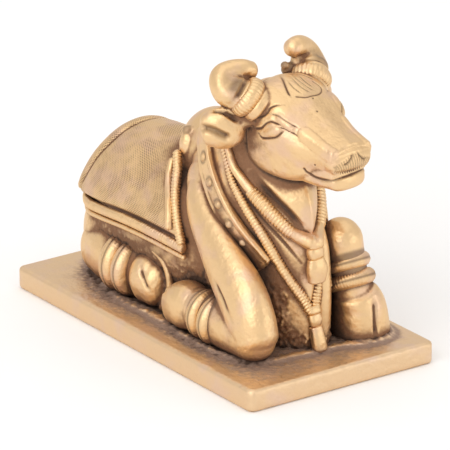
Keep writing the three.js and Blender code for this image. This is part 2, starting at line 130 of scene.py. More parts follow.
def draw_form(bm, rings):
    """Moves the rings of a UV sphere to rings of points. The first and the last are one point."""
    around, rows = len(rings[1]), len(rings) - 1
    form = bmesh.new()
    bmesh.ops.create_uvsphere(form, u_segments=around, v_segments=rows, radius=1.0)
    for vert in form.verts:
        x, y, z = vert.co
        row = round(math.acos(min(max(z, -1.0), 1.0)) / math.pi * rows)
        step = round(math.atan2(y, x) / (2 * math.pi) * around) % around
        vert.co = rings[row][step if 0 < row < rows else 0]
    join_form(bm, form)


def unit(vector):
    """A vector's direction, one millimetre long."""
    return vector / np.linalg.norm(vector)


UPWARD = np.array([0.0, 0.0, 1.0])
LEFTWARD = np.array([0.0, 1.0, 0.0])
AHEAD = np.array([1.0, 0.0, 0.0])


def limb(bm, stations, up, around=36, rows=60, power=2.0, blunt=(1.0, 1.0), relief=None):
    """A limb through stations of x, y, z, half width to its side and half width to its top.

    relief(travelled, turns) lifts its skin, at a distance along it and at turns round it.
    """
    stations = np.array(stations, float)
    around = max(8, int(around / COARSER))
    rows = max(12, int(rows / COARSER))
    # Each rounded end takes an eighth of the rows.
    cap = max(4, rows // 8)
    turns = angles(around)
    rings = []
    travelled, previous = 0.0, None
    for row in range(rows + 1):
        share = min(max((row - cap) / (rows - 2 * cap), 0.0), 1.0)
        here = through(stations, share)
        near = through(stations, max(share - NUDGE, 0.0))
        far = through(stations, min(share + NUDGE, 1.0))
        forward = unit(far[:3] - near[:3])
        upper = unit(up - forward * (up @ forward))
        side = np.cross(forward, upper)
        past = max(cap - row, row - (rows - cap), 0) / cap * math.pi / 2
        reach = (-blunt[0] if row < cap else blunt[1]) * math.sin(past)
        centre = here[:3] + forward * reach * min(here[3], here[4])
        travelled += 0.0 if previous is None else float(np.linalg.norm(centre - previous))
        previous = centre
        lift = 0.0 if relief is None else relief(travelled, turns) * math.cos(past)
        wide = here[3] * math.cos(past) + lift
        tall = here[4] * math.cos(past) + lift
        rings.append(
            centre
            + np.outer(swell(np.cos(turns), power) * wide, side)
            + np.outer(swell(np.sin(turns), power) * tall, upper)
        )
    draw_form(bm, rings)


def egg(bm, centre, halves, turn=0.0, tip=0.0, around=32, rows=24):
    """A stretched sphere, tipped nose down and turned to the left by degrees."""
    shape = (
        Matrix.Translation(Vector(centre))
        @ Matrix.Rotation(math.radians(turn), 4, "Z")
        @ Matrix.Rotation(math.radians(tip), 4, "Y")
        @ Matrix.Diagonal((*halves, 1.0))
    )
    form = bmesh.new()
    bmesh.ops.create_uvsphere(form, u_segments=around, v_segments=rows, radius=1.0, matrix=shape)
    join_form(bm, form)


# %% [markdown]
# ## Casting a piece
#
# The forms of one region overlap, as a modeller's rolls of wax do. A voxel Remesh melts them
# into a single skin, and a few rounds of smoothing take the steps of the voxels away and leave
# the small fillets that molten metal leaves. What is cut or chased later moves the vertices of
# that skin along their normals, so each piece keeps its vertices, normals and edges at hand.


# %% Helpers that melt and smooth a piece
def neighbour_means(places, edges, counts):
    """The mean of each vertex's neighbours, for each column of places."""
    total = np.zeros_like(places)
    for column in range(places.shape[1]):
        values = places[:, column]
        total[:, column] = np.bincount(edges[:, 0], values[edges[:, 1]], len(places))
        total[:, column] += np.bincount(edges[:, 1], values[edges[:, 0]], len(places))
    return total / counts[:, None]


def relax(places, edges, rounds, step=0.5, back=-0.53):
    """Smooths without shrinking: one step in to the neighbours' mean, then one step out."""
    counts = np.bincount(edges.ravel(), minlength=len(places)).astype(float)
    for _ in range(rounds):
        places = places + step * (neighbour_means(places, edges, counts) - places)
        places = places + back * (neighbour_means(places, edges, counts) - places)
    return places


def read_rows(data, what, width, kind):
    """One row of numbers for each vertex, edge or triangle of a mesh."""
    values = np.empty(len(data) * width, kind)
    data.foreach_get(what, values)
    return values.reshape(-1, width)


def skin_of(mesh):
    """The vertices, normals and edges of a mesh as arrays."""
    places = read_rows(mesh.vertices, "co", 3, float)
    normals = read_rows(mesh.vertices, "normal", 3, float)
    return places, normals, read_rows(mesh.edges, "vertices", 2, np.int64)


def set_places(mesh, places):
    """Moves a mesh's vertices to the places."""
    mesh.vertices.foreach_set("co", np.ascontiguousarray(places, np.float32).ravel())
    mesh.update()


def melt(name, bm, voxel, rounds):
    """Melts overlapping forms into one skin, and gives back its mesh in drawn millimetres."""
    rough = bpy.data.meshes.new(name + "_wax")
    bm.to_mesh(rough)
    bm.free()
    holder = bpy.data.objects.new(name + "_wax", rough)
    bpy.context.collection.objects.link(holder)
    remesh = holder.modifiers.new("Melt", "REMESH")
    remesh.mode = "VOXEL"
    remesh.voxel_size = voxel * COARSER
    graph = bpy.context.evaluated_depsgraph_get()
    mesh = bpy.data.meshes.new_from_object(holder.evaluated_get(graph))
    mesh.name = name
    bpy.data.objects.remove(holder)
    bpy.data.meshes.remove(rough)
    places, _, edges = skin_of(mesh)
    set_places(mesh, relax(places, edges, rounds))
    print(name, "melted to", len(mesh.vertices), "vertices")
    return mesh


# %% [markdown]
# ## The graver
#
# Cut lines are short rows of points that lie close to the skin. Every vertex near a line sinks
# by how close it is, measured along the skin and not through it. The same tool with a negative
# depth raises a bead. A cut also leaves a dark trace. In a narrow line it is the dark skin of the
# casting, which stays at the bottom of each line when the rest is buffed. A broad, shallow cut
# uses the same trace as painted shade, where shade falls under the belly and inside the horns.


# %% Helpers that carve a skin
SAMPLE_SPACING = 0.12
# How far off the skin a line may lie, as a share of the reach, and what more than that costs.
FREE_STANDOFF = 0.7
STANDOFF_COST = 4
FADED_SHARE = 0.25


class Skin:
    """A piece's skin while it is carved: where its vertices are, and what each is to be."""

    def __init__(self, mesh):
        self.mesh = mesh
        self.places, self.normals, self.edges = skin_of(mesh)
        self.lift, self.sink, self.ink_and_shade = np.zeros((3, len(self.places)))

    def distances(self, line, reach):
        """The vertices within reach of a line, and how far each is from it along the skin."""
        line = np.array(line, float)
        length = np.linalg.norm(np.diff(line, axis=0), axis=1).sum()
        count = max(4, int(length / SAMPLE_SPACING))
        samples = line
        if len(line) > 1:
            samples = np.array([through(line, i / count) for i in range(count + 1)])
        low, high = samples.min(0) - reach, samples.max(0) + reach
        near = np.flatnonzero(np.all((self.places > low) & (self.places < high), axis=1))
        if not len(near):
            return near, np.zeros(0), np.zeros(0)
        away = self.places[near][:, None, :] - samples[None, :, :]
        standoff = np.einsum("ijk,ik->ij", away, self.normals[near])
        along_skin = np.sqrt(np.maximum((away**2).sum(2) - standoff**2, 0))
        along_skin += np.maximum(np.abs(standoff) - reach * FREE_STANDOFF, 0) * STANDOFF_COST
        closest = along_skin.argmin(1)
        shares = closest / max(len(samples) - 1, 1)
        return near, along_skin[np.arange(len(near)), closest], shares

    def cut(self, line, width, depth, ink_and_shade=1.0, reach=1.3, fade=0.0):
        """A groove of a half width and a depth. Fade thins it over a share at both ends."""
        near, away, shares = self.distances(line, reach)
        profile = 0.5 + 0.5 * np.cos(math.pi * np.minimum(away / width, 1.0))
        if fade > 0:
            profile = profile * np.clip(np.minimum(shares, 1 - shares) / fade, FADED_SHARE, 1.0)
        self.sink[near] = np.maximum(self.sink[near], profile * depth)
        self.ink_and_shade[near] = np.maximum(self.ink_and_shade[near], profile * ink_and_shade)

    def raise_bead(self, line, width, height, reach=1.3):
        """A rounded bead of a half width and a height."""
        near, away, _ = self.distances(line, reach)
        profile = np.sqrt(np.maximum(1 - np.minimum(away / width, 1.0) ** 2, 0))
        self.lift[near] = np.maximum(self.lift[near], profile * height)

    def finish(self):
        """Moves the skin by what was cut and raised, and takes its new normals."""
        moved = self.normals * (self.lift - self.sink)[:, None]
        set_places(self.mesh, self.places + moved)
        self.places, self.normals, self.edges = skin_of(self.mesh)


def mirrored(points, side):
    """A row of points of the bull's left, or the same row on its right."""
    return [(along, side * across, height) for along, across, height in points]


def cut_both(skin, cuts, placed=mirrored):
    """Cuts rows of line, half width, depth, dark trace, reach and fade on the left and on the
    right.
    """
    for line, *amounts in cuts:
        for side in SIDES.values():
            skin.cut(placed(line, side), *amounts)


def soft_step(value, start, end):
    """0 at the start, 1 at the end, and smooth between them."""
    s = np.clip((value - start) / (end - start), 0, 1)
    return s * s * (3 - 2 * s)


# %% [markdown]
# ## Cords and ribbed rings
#
# The cords round the neck and along the cloth's edges are twisted cords in the wax, and show as
# a row of slanted ridges about 0.6 mm apart. Those are too fine to melt, so a cord stays a form
# of its own: a limb whose skin rises and falls as it goes along. It sinks into the skin
# below it, and the sharp valley that it leaves there is where the dark stays.


# %% Ribs round a cord
RIB_PITCH = 0.62
RIB_SHARPNESS = 0.7
ROWS_FOR_A_RIB = 6.25


def ribs(pitch, depth, lean=0.0):
    """Ridges round a cord, one every pitch, each leaning forward by a share of a turn."""

    def lift(travelled, turns):
        wave = np.abs(np.cos(math.pi * (travelled / pitch + lean * np.sin(turns))))
        return depth * (wave**RIB_SHARPNESS - 0.6)

    return lift


def cord(bm, stations, up, around, pitch, depth, lean=0.0, **form):
    """A limb with ribs round it, and enough rows along it for each rib to have its own few."""
    points = np.array(stations, float)[:, :3]
    length = np.linalg.norm(np.diff(points, axis=0), axis=1).sum()
    rows = int(length / pitch * ROWS_FOR_A_RIB)
    limb(bm, stations, up, around=around, rows=rows, relief=ribs(pitch, depth, lean), **form)


def of_one_width(line, half):
    """Stations along a line, with one half width all the way and all round."""
    return [(*place, half, half) for place in line]


# %% [markdown]
# ## The body and the saddle cloth
#
# The body is one long swelling form from the rump to the chest. The cloth is the same form
# again, a little prouder, cut off above a hem that runs along the flank and behind the hump.
# Cutting it with a plane for each of its edges is quick and leaves them crisp.

# %% The body's stations
# Along, half breadth, height of the back, height of the widest line.
BODY = np.array([
    (-34.6, 4.6, 16.8, 11.0), (-33.4, 8.0, 20.6, 12.0), (-30.6, 10.8, 24.6, 12.6),
    (-26.0, 12.4, 28.0, 13.2), (-18.0, 13.2, 29.0, 13.6), (-9.0, 13.0, 28.4, 14.0),
    (0.0, 12.4, 29.4, 15.0), (8.0, 10.8, 32.0, 17.0), (15.0, 7.4, 32.0, 18.0),
])
# Below the cloth the rump is leaner.
BARE = np.array([
    (-33.2, 3.4, 16.8, 11.0), (-32.0, 6.4, 20.6, 12.0), (-29.4, 9.2, 24.6, 12.6),
    (-25.6, 11.5, 28.0, 13.2), (-18.0, 12.8, 29.0, 13.6), *BODY[5:],
])
BODY_UNDER = -1.5
BODY_POWER = 1.95


def body_ring(share, turns, proud, table):
    """Points of the body's skin at a share of its length, from its right side over the back."""
    along, half, back, widest = through(table, share)
    rise = np.where(np.sin(turns) > 0, back - widest, widest - BODY_UNDER)
    across = -(half + proud) * swell(np.cos(turns), BODY_POWER)
    height = widest + (rise + proud) * swell(np.sin(turns), BODY_POWER)
    return np.stack([np.full(len(turns), along), across, height], axis=1)


def body_form(bm, proud=0.0, table=BODY, around=120, rows=110):
    """The whole body as one form, as proud as asked."""
    turns = angles(around)
    rump = np.array([[table[0, 0] - 0.8 - proud, 0.0, 12.0]])
    chest = np.array([[table[-1, 0] + 2.0, 0.0, 17.0]])
    middle = [body_ring(row / rows, turns, proud, table) for row in range(rows + 1)]
    draw_form(bm, [rump, *middle, chest])


# %% The cloth, cut from a prouder body
CLOTH_PROUD = 0.9
HEM_HEIGHT = 16.2
CLOTH_REAR = -31.9
CLOTH_FRONT_AT_BACK = -9.0
CLOTH_FRONT_AT_HEM = 4.5
CLOTH_TOP = 36.0


def slice_off(bm, point, outward):
    """Cuts a closed form with a plane, drops what is outside and closes the cut."""
    geometry = bm.verts[:] + bm.edges[:] + bm.faces[:]
    cut = bmesh.ops.bisect_plane(
        bm, geom=geometry, plane_co=point, plane_no=outward, clear_outer=True
    )
    rim = [part for part in cut["geom_cut"] if isinstance(part, bmesh.types.BMEdge)]
    bmesh.ops.holes_fill(bm, edges=rim, sides=0)


cloth = bmesh.new()
body_form(cloth, CLOTH_PROUD)
front_lean = Vector(
    (CLOTH_TOP - HEM_HEIGHT, 0, CLOTH_FRONT_AT_HEM - CLOTH_FRONT_AT_BACK)
).normalized()
slice_off(cloth, (0, 0, HEM_HEIGHT), (0, 0, -1))
slice_off(cloth, (CLOTH_FRONT_AT_HEM, 0, HEM_HEIGHT), front_lean)
slice_off(cloth, (CLOTH_REAR, 0, HEM_HEIGHT), (-1, 0, 0))
print("the cloth has", len(cloth.faces), "faces before it is melted on to the body")

# %% The body, hump, haunches and cloth melted together
HUMP = (-0.6, 0.0, 29.6)
HUMP_HALVES = (8.6, 7.0, 8.7)
# A knot of the harness on the right of the hump.
KNOT = (-2.5, -6.2, 31.9)
KNOT_TOP = (-2.6, -5.8, 34.6)
# What fills the hollow behind the folded right foreleg.
BEHIND_FORELEG = (12.5, -8.0, 11.5)
# Middle, half sizes and tip in degrees of the swellings that both sides have.
HAUNCH = ((-24.0, 7.2, 8.0), (8.2, 5.2, 9.4), 0)
SHOULDER = ((6.0, 6.9, 24.4), (4.8, 3.3, 7.4), -35)
body = bmesh.new()
body_form(body, table=BARE)
egg(body, HUMP, HUMP_HALVES, around=48, rows=36)
egg(body, KNOT, (1.5, 1.3, 2.4))
egg(body, KNOT_TOP, (1.1, 1.1, 1.0))
for side in SIDES.values():
    for (along, across, height), halves, tip in (HAUNCH, SHOULDER):
        egg(body, (along, side * across, height), halves, tip=tip, around=48, rows=36)
egg(body, BEHIND_FORELEG, (5.5, 3.0, 4.5))
join_form(body, cloth)
body_skin = Skin(melt("body", body, voxel=0.31, rounds=3))
HEM_GROOVE = [
    (-31.3, 6.4, 16.5), (-29.4, 10.2, 16.2), (-25.6, 12.6, 16.1), (-20.8, 13.4, 16.5),
    (-13.4, 13.8, 17.2), (-7.2, 13.6, 17.3), (-1.1, 13.3, 17.1), (5.2, 12.6, 16.5),
]
REAR_GROOVE = [
    (-29.2, 11.2, 16.4), (-27.5, 11.4, 20.2), (-26.3, 10.0, 23.2), (-24.9, 8.0, 25.9),
    (-24.2, 5.1, 28.1), (-23.6, 2.1, 29.3), (-23.5, 0.0, 29.6),
]
# The rolled edge runs just behind the groove, a little further in and lower.
ROLLED_EDGE = [(x - 2.0, y - 0.5, z - 0.2) for x, y, z in REAR_GROOVE]
BELLY_SHADE = [(-21.0, 12.6, 10.6), (-12.0, 13.0, 10.8), (-4.0, 12.6, 10.8), (3.0, 11.4, 10.4)]
# Line, half width, depth, dark trace, reach and fade. The belly's broad, shallow cut uses its dark
# trace as painted shade under the belly, below the hem.
BODY_CUTS = [
    (BELLY_SHADE, 4.0, 0.05, 0.35, 5.0, 0.3),
    (HEM_GROOVE, 0.8, 0.6, 0.6, 2.0),
    (REAR_GROOVE, 0.6, 0.4, 0.5, 2.0),
]
cut_both(body_skin, BODY_CUTS)
for side in SIDES.values():
    body_skin.raise_bead(mirrored(ROLLED_EDGE, side), 1.5, 0.35, reach=2.4)
body_skin.cut([KNOT_TOP], 1.4, 0.05, ink_and_shade=0.6, reach=2.0)
body_skin.finish()


# %% [markdown]
# ## The cloth's borders
#
# A ribbed band runs along the hem on each side, with a dark groove above it and a thin cord
# below. A corded edge goes down the front of the cloth, with a plain cord behind it, and a broad
# rolled edge, raised on the body's own skin, goes over the rump.

# %% Hem bands and corded fronts
trim = bmesh.new()
FRONT_CORD = [
    (-3.2, 7.8, 30.2), (-2.0, 8.6, 27.9), (-0.9, 9.8, 24.8), (0.9, 11.1, 22.2), (3.0, 12.1, 19.2),
    (4.7, 12.6, 16.6),
]
BEHIND_CORD = [
    (-5.0, 7.7, 28.2), (-4.4, 8.7, 26.4), (-3.0, 9.9, 24.6), (-0.8, 11.4, 22.6), (0.9, 12.6, 20.4),
    (1.4, 13.0, 18.6),
]
# The band hangs below the groove, and the thin cord below the band.
BAND_DROP = 1.2
LOW_CORD_DROP = 1.75
LOW_RIB_PITCH = 0.9
for side in SIDES.values():
    band = [(x, side * (y - 0.1), z - BAND_DROP, 0.75, 0.9) for x, y, z in HEM_GROOVE]
    cord(trim, band, UPWARD, 18, RIB_PITCH, 0.12, power=2.6, blunt=(0.5, 0.5))
    low_cord = [(x, y * 0.99, z - LOW_CORD_DROP, 0.5, 0.5) for x, y, z, _, _ in band]
    cord(trim, low_cord, UPWARD, 12, LOW_RIB_PITCH, 0.08)
    front = of_one_width(mirrored(FRONT_CORD, side), 0.85)
    cord(trim, front, AHEAD, 18, RIB_PITCH, 0.2)
    behind = of_one_width(mirrored(BEHIND_CORD, side), 0.75)
    limb(trim, behind, AHEAD, around=14, rows=40)
print("cloth borders have", len(trim.faces), "faces")


# %% [markdown]
# ## The neck and the keel of the chest
#
# The neck rises from the slab as a row of level rings, bowed to a keel in front. The straps and
# cords of the harness come down both its sides and meet at two hanging drops on the keel.

# %% The neck's stations
# Height, foremost point, hindmost point, half breadth.
NECK = np.array([
    (-1.0, 27.6, 4.0, 7.6), (6.0, 27.8, 4.0, 8.2), (14.0, 28.0, 3.0, 8.9), (22.0, 28.2, 2.0, 9.4),
    (28.0, 27.6, 1.0, 9.6), (33.0, 25.0, 1.0, 9.2), (38.0, 22.5, 3.0, 8.2), (43.0, 20.5, 8.4, 6.8),
    (46.4, 19.0, 11.2, 5.2), (48.4, 17.6, 13.8, 3.0),
])
KEEL_POWER = 1.35


def neck_ring(share, turns):
    """Points of the neck's skin at a share of its rise, from the keel round the right side."""
    height, front, rear, half = through(NECK, share)
    power = np.where(np.cos(turns) > 0, KEEL_POWER, 2.0)
    along = (front + rear) / 2 + (front - rear) / 2 * swell(np.cos(turns), power)
    across = -half * swell(np.sin(turns), power)
    return np.stack([along, across, np.full(len(turns), height)], axis=1)


neck = bmesh.new()
NECK_ROWS = 70
neck_turns = angles(96)
foot = np.array([[16.0, 0.0, -1.2]])
poll = np.array([[15.8, 0.0, 48.8]])
neck_rings = [neck_ring(row / NECK_ROWS, neck_turns) for row in range(NECK_ROWS + 1)]
draw_form(neck, [foot, *neck_rings, poll])
WEB = [(19.0, 5.5, -0.6, 4.2, 4.6), (20.0, 6.2, 8.0, 3.8, 4.4), (20.6, 6.2, 17.0, 3.2, 4.0)]
limb(neck, WEB, LEFTWARD, blunt=(0.15, 1.0))
UNDER_FALL = [
    (21.4, 3.0, 32.0, 1.2, 1.2), (23.2, 3.0, 27.4, 1.3, 1.3), (24.7, 3.2, 23.2, 1.3, 1.3),
    (26.0, 3.7, 18.0, 1.4, 1.4), (26.4, 3.7, 10.0, 1.6, 1.6), (26.0, 3.6, 1.0, 1.8, 1.8),
]
limb(neck, UNDER_FALL, LEFTWARD)
neck_skin = Skin(melt("neck", neck, voxel=0.3, rounds=3))
DEWLAP_VALLEY = [
    (18.8, 6.6, 32.6), (20.9, 5.9, 30.7), (23.0, 5.0, 28.9), (25.2, 3.6, 26.7), (26.7, 2.2, 24.5),
    (27.8, 0.9, 22.8),
]
BETWEEN_CORDS = [
    (18.1, 8.1, 28.9), (19.9, 7.4, 26.9), (21.7, 6.4, 24.7), (23.7, 5.0, 22.4), (25.4, 3.6, 20.1),
    (27.1, 1.7, 17.0),
]
NECK_CUTS = [(DEWLAP_VALLEY, 1.25, 0.95, 0.55, 2.4, 0.3), (BETWEEN_CORDS, 0.5, 0.3, 0.6, 1.3, 0.2)]
cut_both(neck_skin, NECK_CUTS)
neck_skin.finish()

# %% Straps, cords and studs of the harness
STRAP = [
    (3.0, 6.2, 37.0), (5.8, 7.9, 34.6), (8.4, 9.2, 31.6), (12.5, 9.9, 27.0), (17.0, 9.4, 22.2),
    (21.1, 7.2, 17.4), (21.9, 6.6, 16.3),
]
STRAP_THICKNESS = 0.8
STRAP_BREADTH = 2.35
BEAD_HEIGHT = 0.3
BEAD_AT = 0.8
BEAD_SPREAD = 0.13
TROUGH_DEPTH = 0.1
TROUGH_EDGE = 0.6
# Each cord's places and half widths, the pitch of its ribs and their depth.
INNER_CORD = [
    (12.4, 8.6, 36.6, 0.55), (14.2, 8.8, 33.6, 0.6), (16.0, 8.9, 30.6, 0.7),
    (18.9, 8.3, 26.8, 0.8), (22.1, 6.5, 21.6, 0.95), (24.9, 4.3, 15.6, 1.0),
    (27.2, 1.7, 10.4, 1.0), (28.2, 0.6, 7.8, 0.9),
]
OUTER_CORD = [
    (19.6, 7.2, 29.5, 1.2), (21.4, 6.5, 28.0, 1.3), (23.6, 5.2, 25.7, 1.3), (25.8, 3.4, 23.1, 1.2),
]
RIBBED_CORDS = [(INNER_CORD, RIB_PITCH, 0.24), (OUTER_CORD, 0.64, 0.312)]
# The outer cord is plain above its ribs and below them.
OUTER_CORD_TOP = [
    (13.8, 8.4, 36.4, 0.7), (15.6, 8.5, 33.6, 0.8), (17.6, 8.0, 31.6, 0.9), (19.8, 7.2, 29.5, 1.0),
]
OUTER_CORD_END = [(25.6, 3.6, 23.3, 1.0), (27.2, 1.9, 22.0, 1.3), (28.4, 0.6, 21.2, 1.5)]
CORD_LEAN = 0.2
LEFT_FALL = [
    (21.9, 1.9, 30.6), (23.1, 2.2, 27.0), (24.7, 2.8, 23.2), (26.2, 3.9, 18.0), (27.0, 4.4, 11.0),
]
STUD_COUNT = 5
STUD_RADIUS = 0.85
STUD_FIRST = 0.27
STUD_LAST = 0.74
# How far out and up from the strap's middle line the studs sit.
STUD_OUT = 0.35
STUD_UP = 0.15
studs = []
CORD_UP = np.array([0.6, 0.0, 0.8])
harness = bmesh.new()


def raised_edges(travelled, turns):
    """A flat strap's skin: a bead along each edge and a shallow trough between them."""
    edge = np.abs(np.sin(turns))
    bead = np.exp(-(((edge - BEAD_AT) / BEAD_SPREAD) ** 2))
    return BEAD_HEIGHT * bead - TROUGH_DEPTH * (edge < TROUGH_EDGE)


def cord_stations(places, side):
    """A cord's stations on one side. The left cords lie a little closer in."""
    closer = 0.93 if side > 0 else 1.0
    return [(x, side * y * closer, z, half, half) for x, y, z, half in places]


for side in SIDES.values():
    strap = [(*place, STRAP_THICKNESS, STRAP_BREADTH) for place in mirrored(STRAP, side)]
    limb(harness, strap, CORD_UP, around=48, rows=120, power=2.4, relief=raised_edges)
    for places, pitch, depth in RIBBED_CORDS:
        cord(harness, cord_stations(places, side), CORD_UP, 20, pitch, depth, CORD_LEAN)
    for places in (OUTER_CORD_TOP, OUTER_CORD_END):
        limb(harness, cord_stations(places, side), CORD_UP, around=20, rows=50)
    line = [(x, y + STUD_OUT, z + STUD_UP) for x, y, z in STRAP]
    line = np.array(mirrored(line, side))
    for i in range(STUD_COUNT):
        # They stand closer together towards the strap's end.
        share = (i / (STUD_COUNT - 1)) ** 0.8
        stud = through(line, STUD_FIRST + (STUD_LAST - STUD_FIRST) * share)
        egg(harness, stud, (STUD_RADIUS,) * 3, around=20, rows=14)
        studs.append(stud)
# The fall on the left of the keel is three thin cords side by side.
THREE_ABREAST = (-0.6, 0.0, 0.6)
FALL_RIB_PITCH = 0.7
for shift in THREE_ABREAST:
    fall = [(x - 0.3 * abs(shift), y + shift, z, 0.42, 0.42) for x, y, z in LEFT_FALL]
    cord(harness, fall, LEFTWARD, 12, FALL_RIB_PITCH, 0.1)

# %% The two hanging drops
# Along, across, height, half depth and half breadth.
UPPER_DROP = [
    [(28.5, 0.0, 21.8, 0.9, 1.5), (28.8, 0.1, 20.9, 1.1, 1.7), (28.9, 0.1, 20.4, 1.0, 1.7)],
    [(28.8, 0.1, 19.9, 1.0, 1.6), (28.9, 0.1, 19.2, 1.1, 1.65), (28.9, 0.2, 18.5, 1.0, 1.6)],
    [(28.9, 0.2, 17.9, 1.0, 1.6), (29.1, 0.4, 16.0, 1.2, 2.1), (29.0, 0.4, 13.7, 1.0, 1.8)],
]
LOWER_DROP = [
    [(28.2, 0.2, 8.4, 0.8, 1.4), (28.4, 0.2, 7.9, 0.9, 1.4), (28.5, 0.2, 7.5, 0.9, 1.4)],
    [(28.5, 0.2, 6.9, 0.9, 1.3), (28.7, 0.3, 6.0, 1.0, 1.4), (28.7, 0.3, 5.2, 0.9, 1.2)],
    [(28.8, 0.4, 4.5, 0.9, 1.2), (29.4, 0.7, 1.6, 1.1, 1.4), (29.8, 0.9, -0.9, 1.0, 1.4)],
]
for drop in (*UPPER_DROP, *LOWER_DROP):
    limb(harness, drop, LEFTWARD, around=40, rows=40, power=2.6, blunt=(0.35, 0.6))
print("the harness has", len(harness.faces), "faces")

# %% [markdown]
# ## The head
#
# The head is a wedge of flat planes: a forehead that runs straight down to the muzzle, a crisp
# ridge down each side of it, and flat cheeks. It is drawn as sections with five corners on each
# side, in a frame of its own that is turned a little to the bull's left. A short average round
# each section takes the hard corner off every plane.

# %% The head's frame and sections
HEAD_ROOT = (18.9, 0.5)
HEAD_TURN = math.radians(5.5)
HEADING = np.array([math.cos(HEAD_TURN), math.sin(HEAD_TURN), 0.0])
# Forward, brow height, then half breadth and height of the ridge, the cheek and the jaw, and
# the height of the underside.
HEAD = np.array(
    [
        (-6.5, 46.0, 4.0, 45.0, 5.8, 41.0, 5.0, 35.6, 32.8),
        (-3.2, 49.2, 5.2, 48.2, 7.4, 43.8, 6.5, 34.4, 31.8),
        (0.0, 50.4, 5.9, 49.4, 8.2, 44.2, 6.9, 33.8, 31.4),
        (4.0, 49.4, 6.1, 48.0, 8.4, 43.6, 6.6, 33.5, 31.4),
        (7.0, 47.4, 5.8, 46.3, 7.9, 42.6, 6.0, 33.5, 31.8),
        (10.0, 45.4, 5.2, 44.3, 6.6, 40.6, 5.2, 34.2, 32.8),
        (13.0, 43.8, 4.8, 42.8, 5.5, 39.6, 4.5, 36.4, 34.8),
        (15.6, 42.8, 4.6, 41.9, 5.0, 39.4, 4.3, 37.0, 36.4),
        (17.8, 42.2, 4.4, 41.3, 4.8, 39.4, 4.3, 37.0, 36.4),
    ]
)


def on_head(forward, left, height):
    """A place in the head's frame, as a place on the bull."""
    cosine, sine = math.cos(HEAD_TURN), math.sin(HEAD_TURN)
    return (
        HEAD_ROOT[0] + forward * cosine - left * sine,
        HEAD_ROOT[1] + forward * sine + left * cosine,
        height,
    )


def head_points(points, side=1):
    """A row of points in the head's frame, on its left or its right, as places on the bull."""
    return [on_head(forward, side * left, height) for forward, left, height in points]


def head_limb(stations, side=1):
    """Stations in the head's frame, with their half widths, as stations on the bull."""
    return [(*on_head(x, side * y, z), *halves) for x, y, z, *halves in stations]


CORNERS = range(5)
SHORT_AVERAGE = np.linspace(-0.05, 0.05, 9)


def head_ring(share, around=96):
    """One section of the head, from the brow's middle round the left side."""
    forward, brow, *corners, under = through(HEAD, share)
    lefts = np.array([0.0, corners[0], corners[2], corners[4], 0.0])
    heights = np.array([brow, corners[1], corners[3], corners[5], under])
    ring = []
    for half in np.linspace(0, 1, around // 2 + 1):
        nearby = half + SHORT_AVERAGE
        folded = np.where(nearby < 0, -nearby, np.where(nearby > 1, 2 - nearby, nearby))
        mirror = np.where((nearby < 0) | (nearby > 1), -1, 1)
        left = (np.interp(folded * 4, CORNERS, lefts) * mirror).mean()
        ring.append((left, np.interp(folded * 4, CORNERS, heights).mean()))
    ring += [(-left, height) for left, height in reversed(ring[1:-1])]
    return np.array([on_head(forward, left, height) for left, height in ring])


head = bmesh.new()
HEAD_ROWS = 60
nape = np.array([on_head(-7.4, 0, 40)])
nose = np.array([on_head(18.1, 0, 39)])
draw_form(head, [nape, *[head_ring(row / HEAD_ROWS) for row in range(HEAD_ROWS + 1)], nose])


# %% The muzzle, the horns and the ears
LOWER_JAW = [
    (5.0, 0.0, 35.2, 5.2, 2.2), (10.0, 0.0, 34.9, 4.7, 2.0), (13.0, 0.0, 34.8, 4.4, 1.9),
    (15.6, 0.0, 34.9, 4.2, 1.8), (16.9, 0.0, 34.9, 4.0, 1.8),
]
UPPER_LIP = [
    (16.6, -3.2, 38.9, 2.1, 1.9), (17.2, 0.0, 39.1, 2.1, 2.0), (16.6, 3.2, 38.9, 2.1, 1.9),
]
CLOSED_MOUTH = [
    (11.5, 0.0, 36.2, 4.5, 1.4), (14.5, 0.0, 36.4, 4.4, 1.4), (16.9, 0.0, 36.5, 4.2, 1.4),
]
limb(head, head_limb(LOWER_JAW), UPWARD, around=48, rows=60, power=2.8, blunt=(0.5, 0.8))
limb(head, head_limb(UPPER_LIP), UPWARD, around=40, rows=40, power=2.4, blunt=(0.9, 0.9))
limb(head, head_limb(CLOSED_MOUTH), UPWARD, around=48, rows=40, power=4.5, blunt=(0.4, 0.8))

# The two horns aren't alike: the left one's tip is carried higher, and its root nearer.
TIP_RISE = {"left": 2.0, "right": 0.0}
PULLED_IN = {"left": 0.8, "right": 0.0}
# Forward, left, height and half width.
HORN = [
    (0.4, 6.0, 46.0, 3.0), (-1.2, 8.0, 47.6, 3.0), (-3.6, 9.8, 48.5, 3.2), (-5.4, 9.8, 50.2, 2.8),
    (-5.4, 8.4, 51.1, 2.4), (-4.6, 6.4, 51.5, 2.0), (-4.2, 4.6, 51.1, 1.7),
]
HORN_FACE = (-3.8, 8.4, 49.6)
HORN_ROOT = (-1.2, 8.0, 47.6)
HORN_AXIS = (-0.5, 0.6, 0.62)
# A plain ring at the horn's foot, by its radius and its places along the axis.
FOOT_RADIUS = 3.4
FOOT_STEPS = (-2.9, -2.3, -1.7)
EAR = [
    (0.2, 7.2, 43.6, 1.3, 1.3), (-1.5, 8.8, 43.2, 1.3, 1.7), (-2.9, 10.7, 42.0, 2.2, 3.7),
    (-4.6, 12.6, 41.7, 2.4, 3.8), (-5.6, 13.8, 41.4, 2.0, 3.1),
]
LEFT_BROW_PROUDER = 0.45
LUMP = (-4.2, 4.8, 49.2)


def along_horn(name, steps):
    """A place on the horn's axis, in millimetres out from the middle of its ribbed collar."""
    place = np.array(HORN_ROOT) + steps * unit(np.array(HORN_AXIS))
    return on_head(place[0], SIDES[name] * (place[1] - PULLED_IN[name]), place[2])


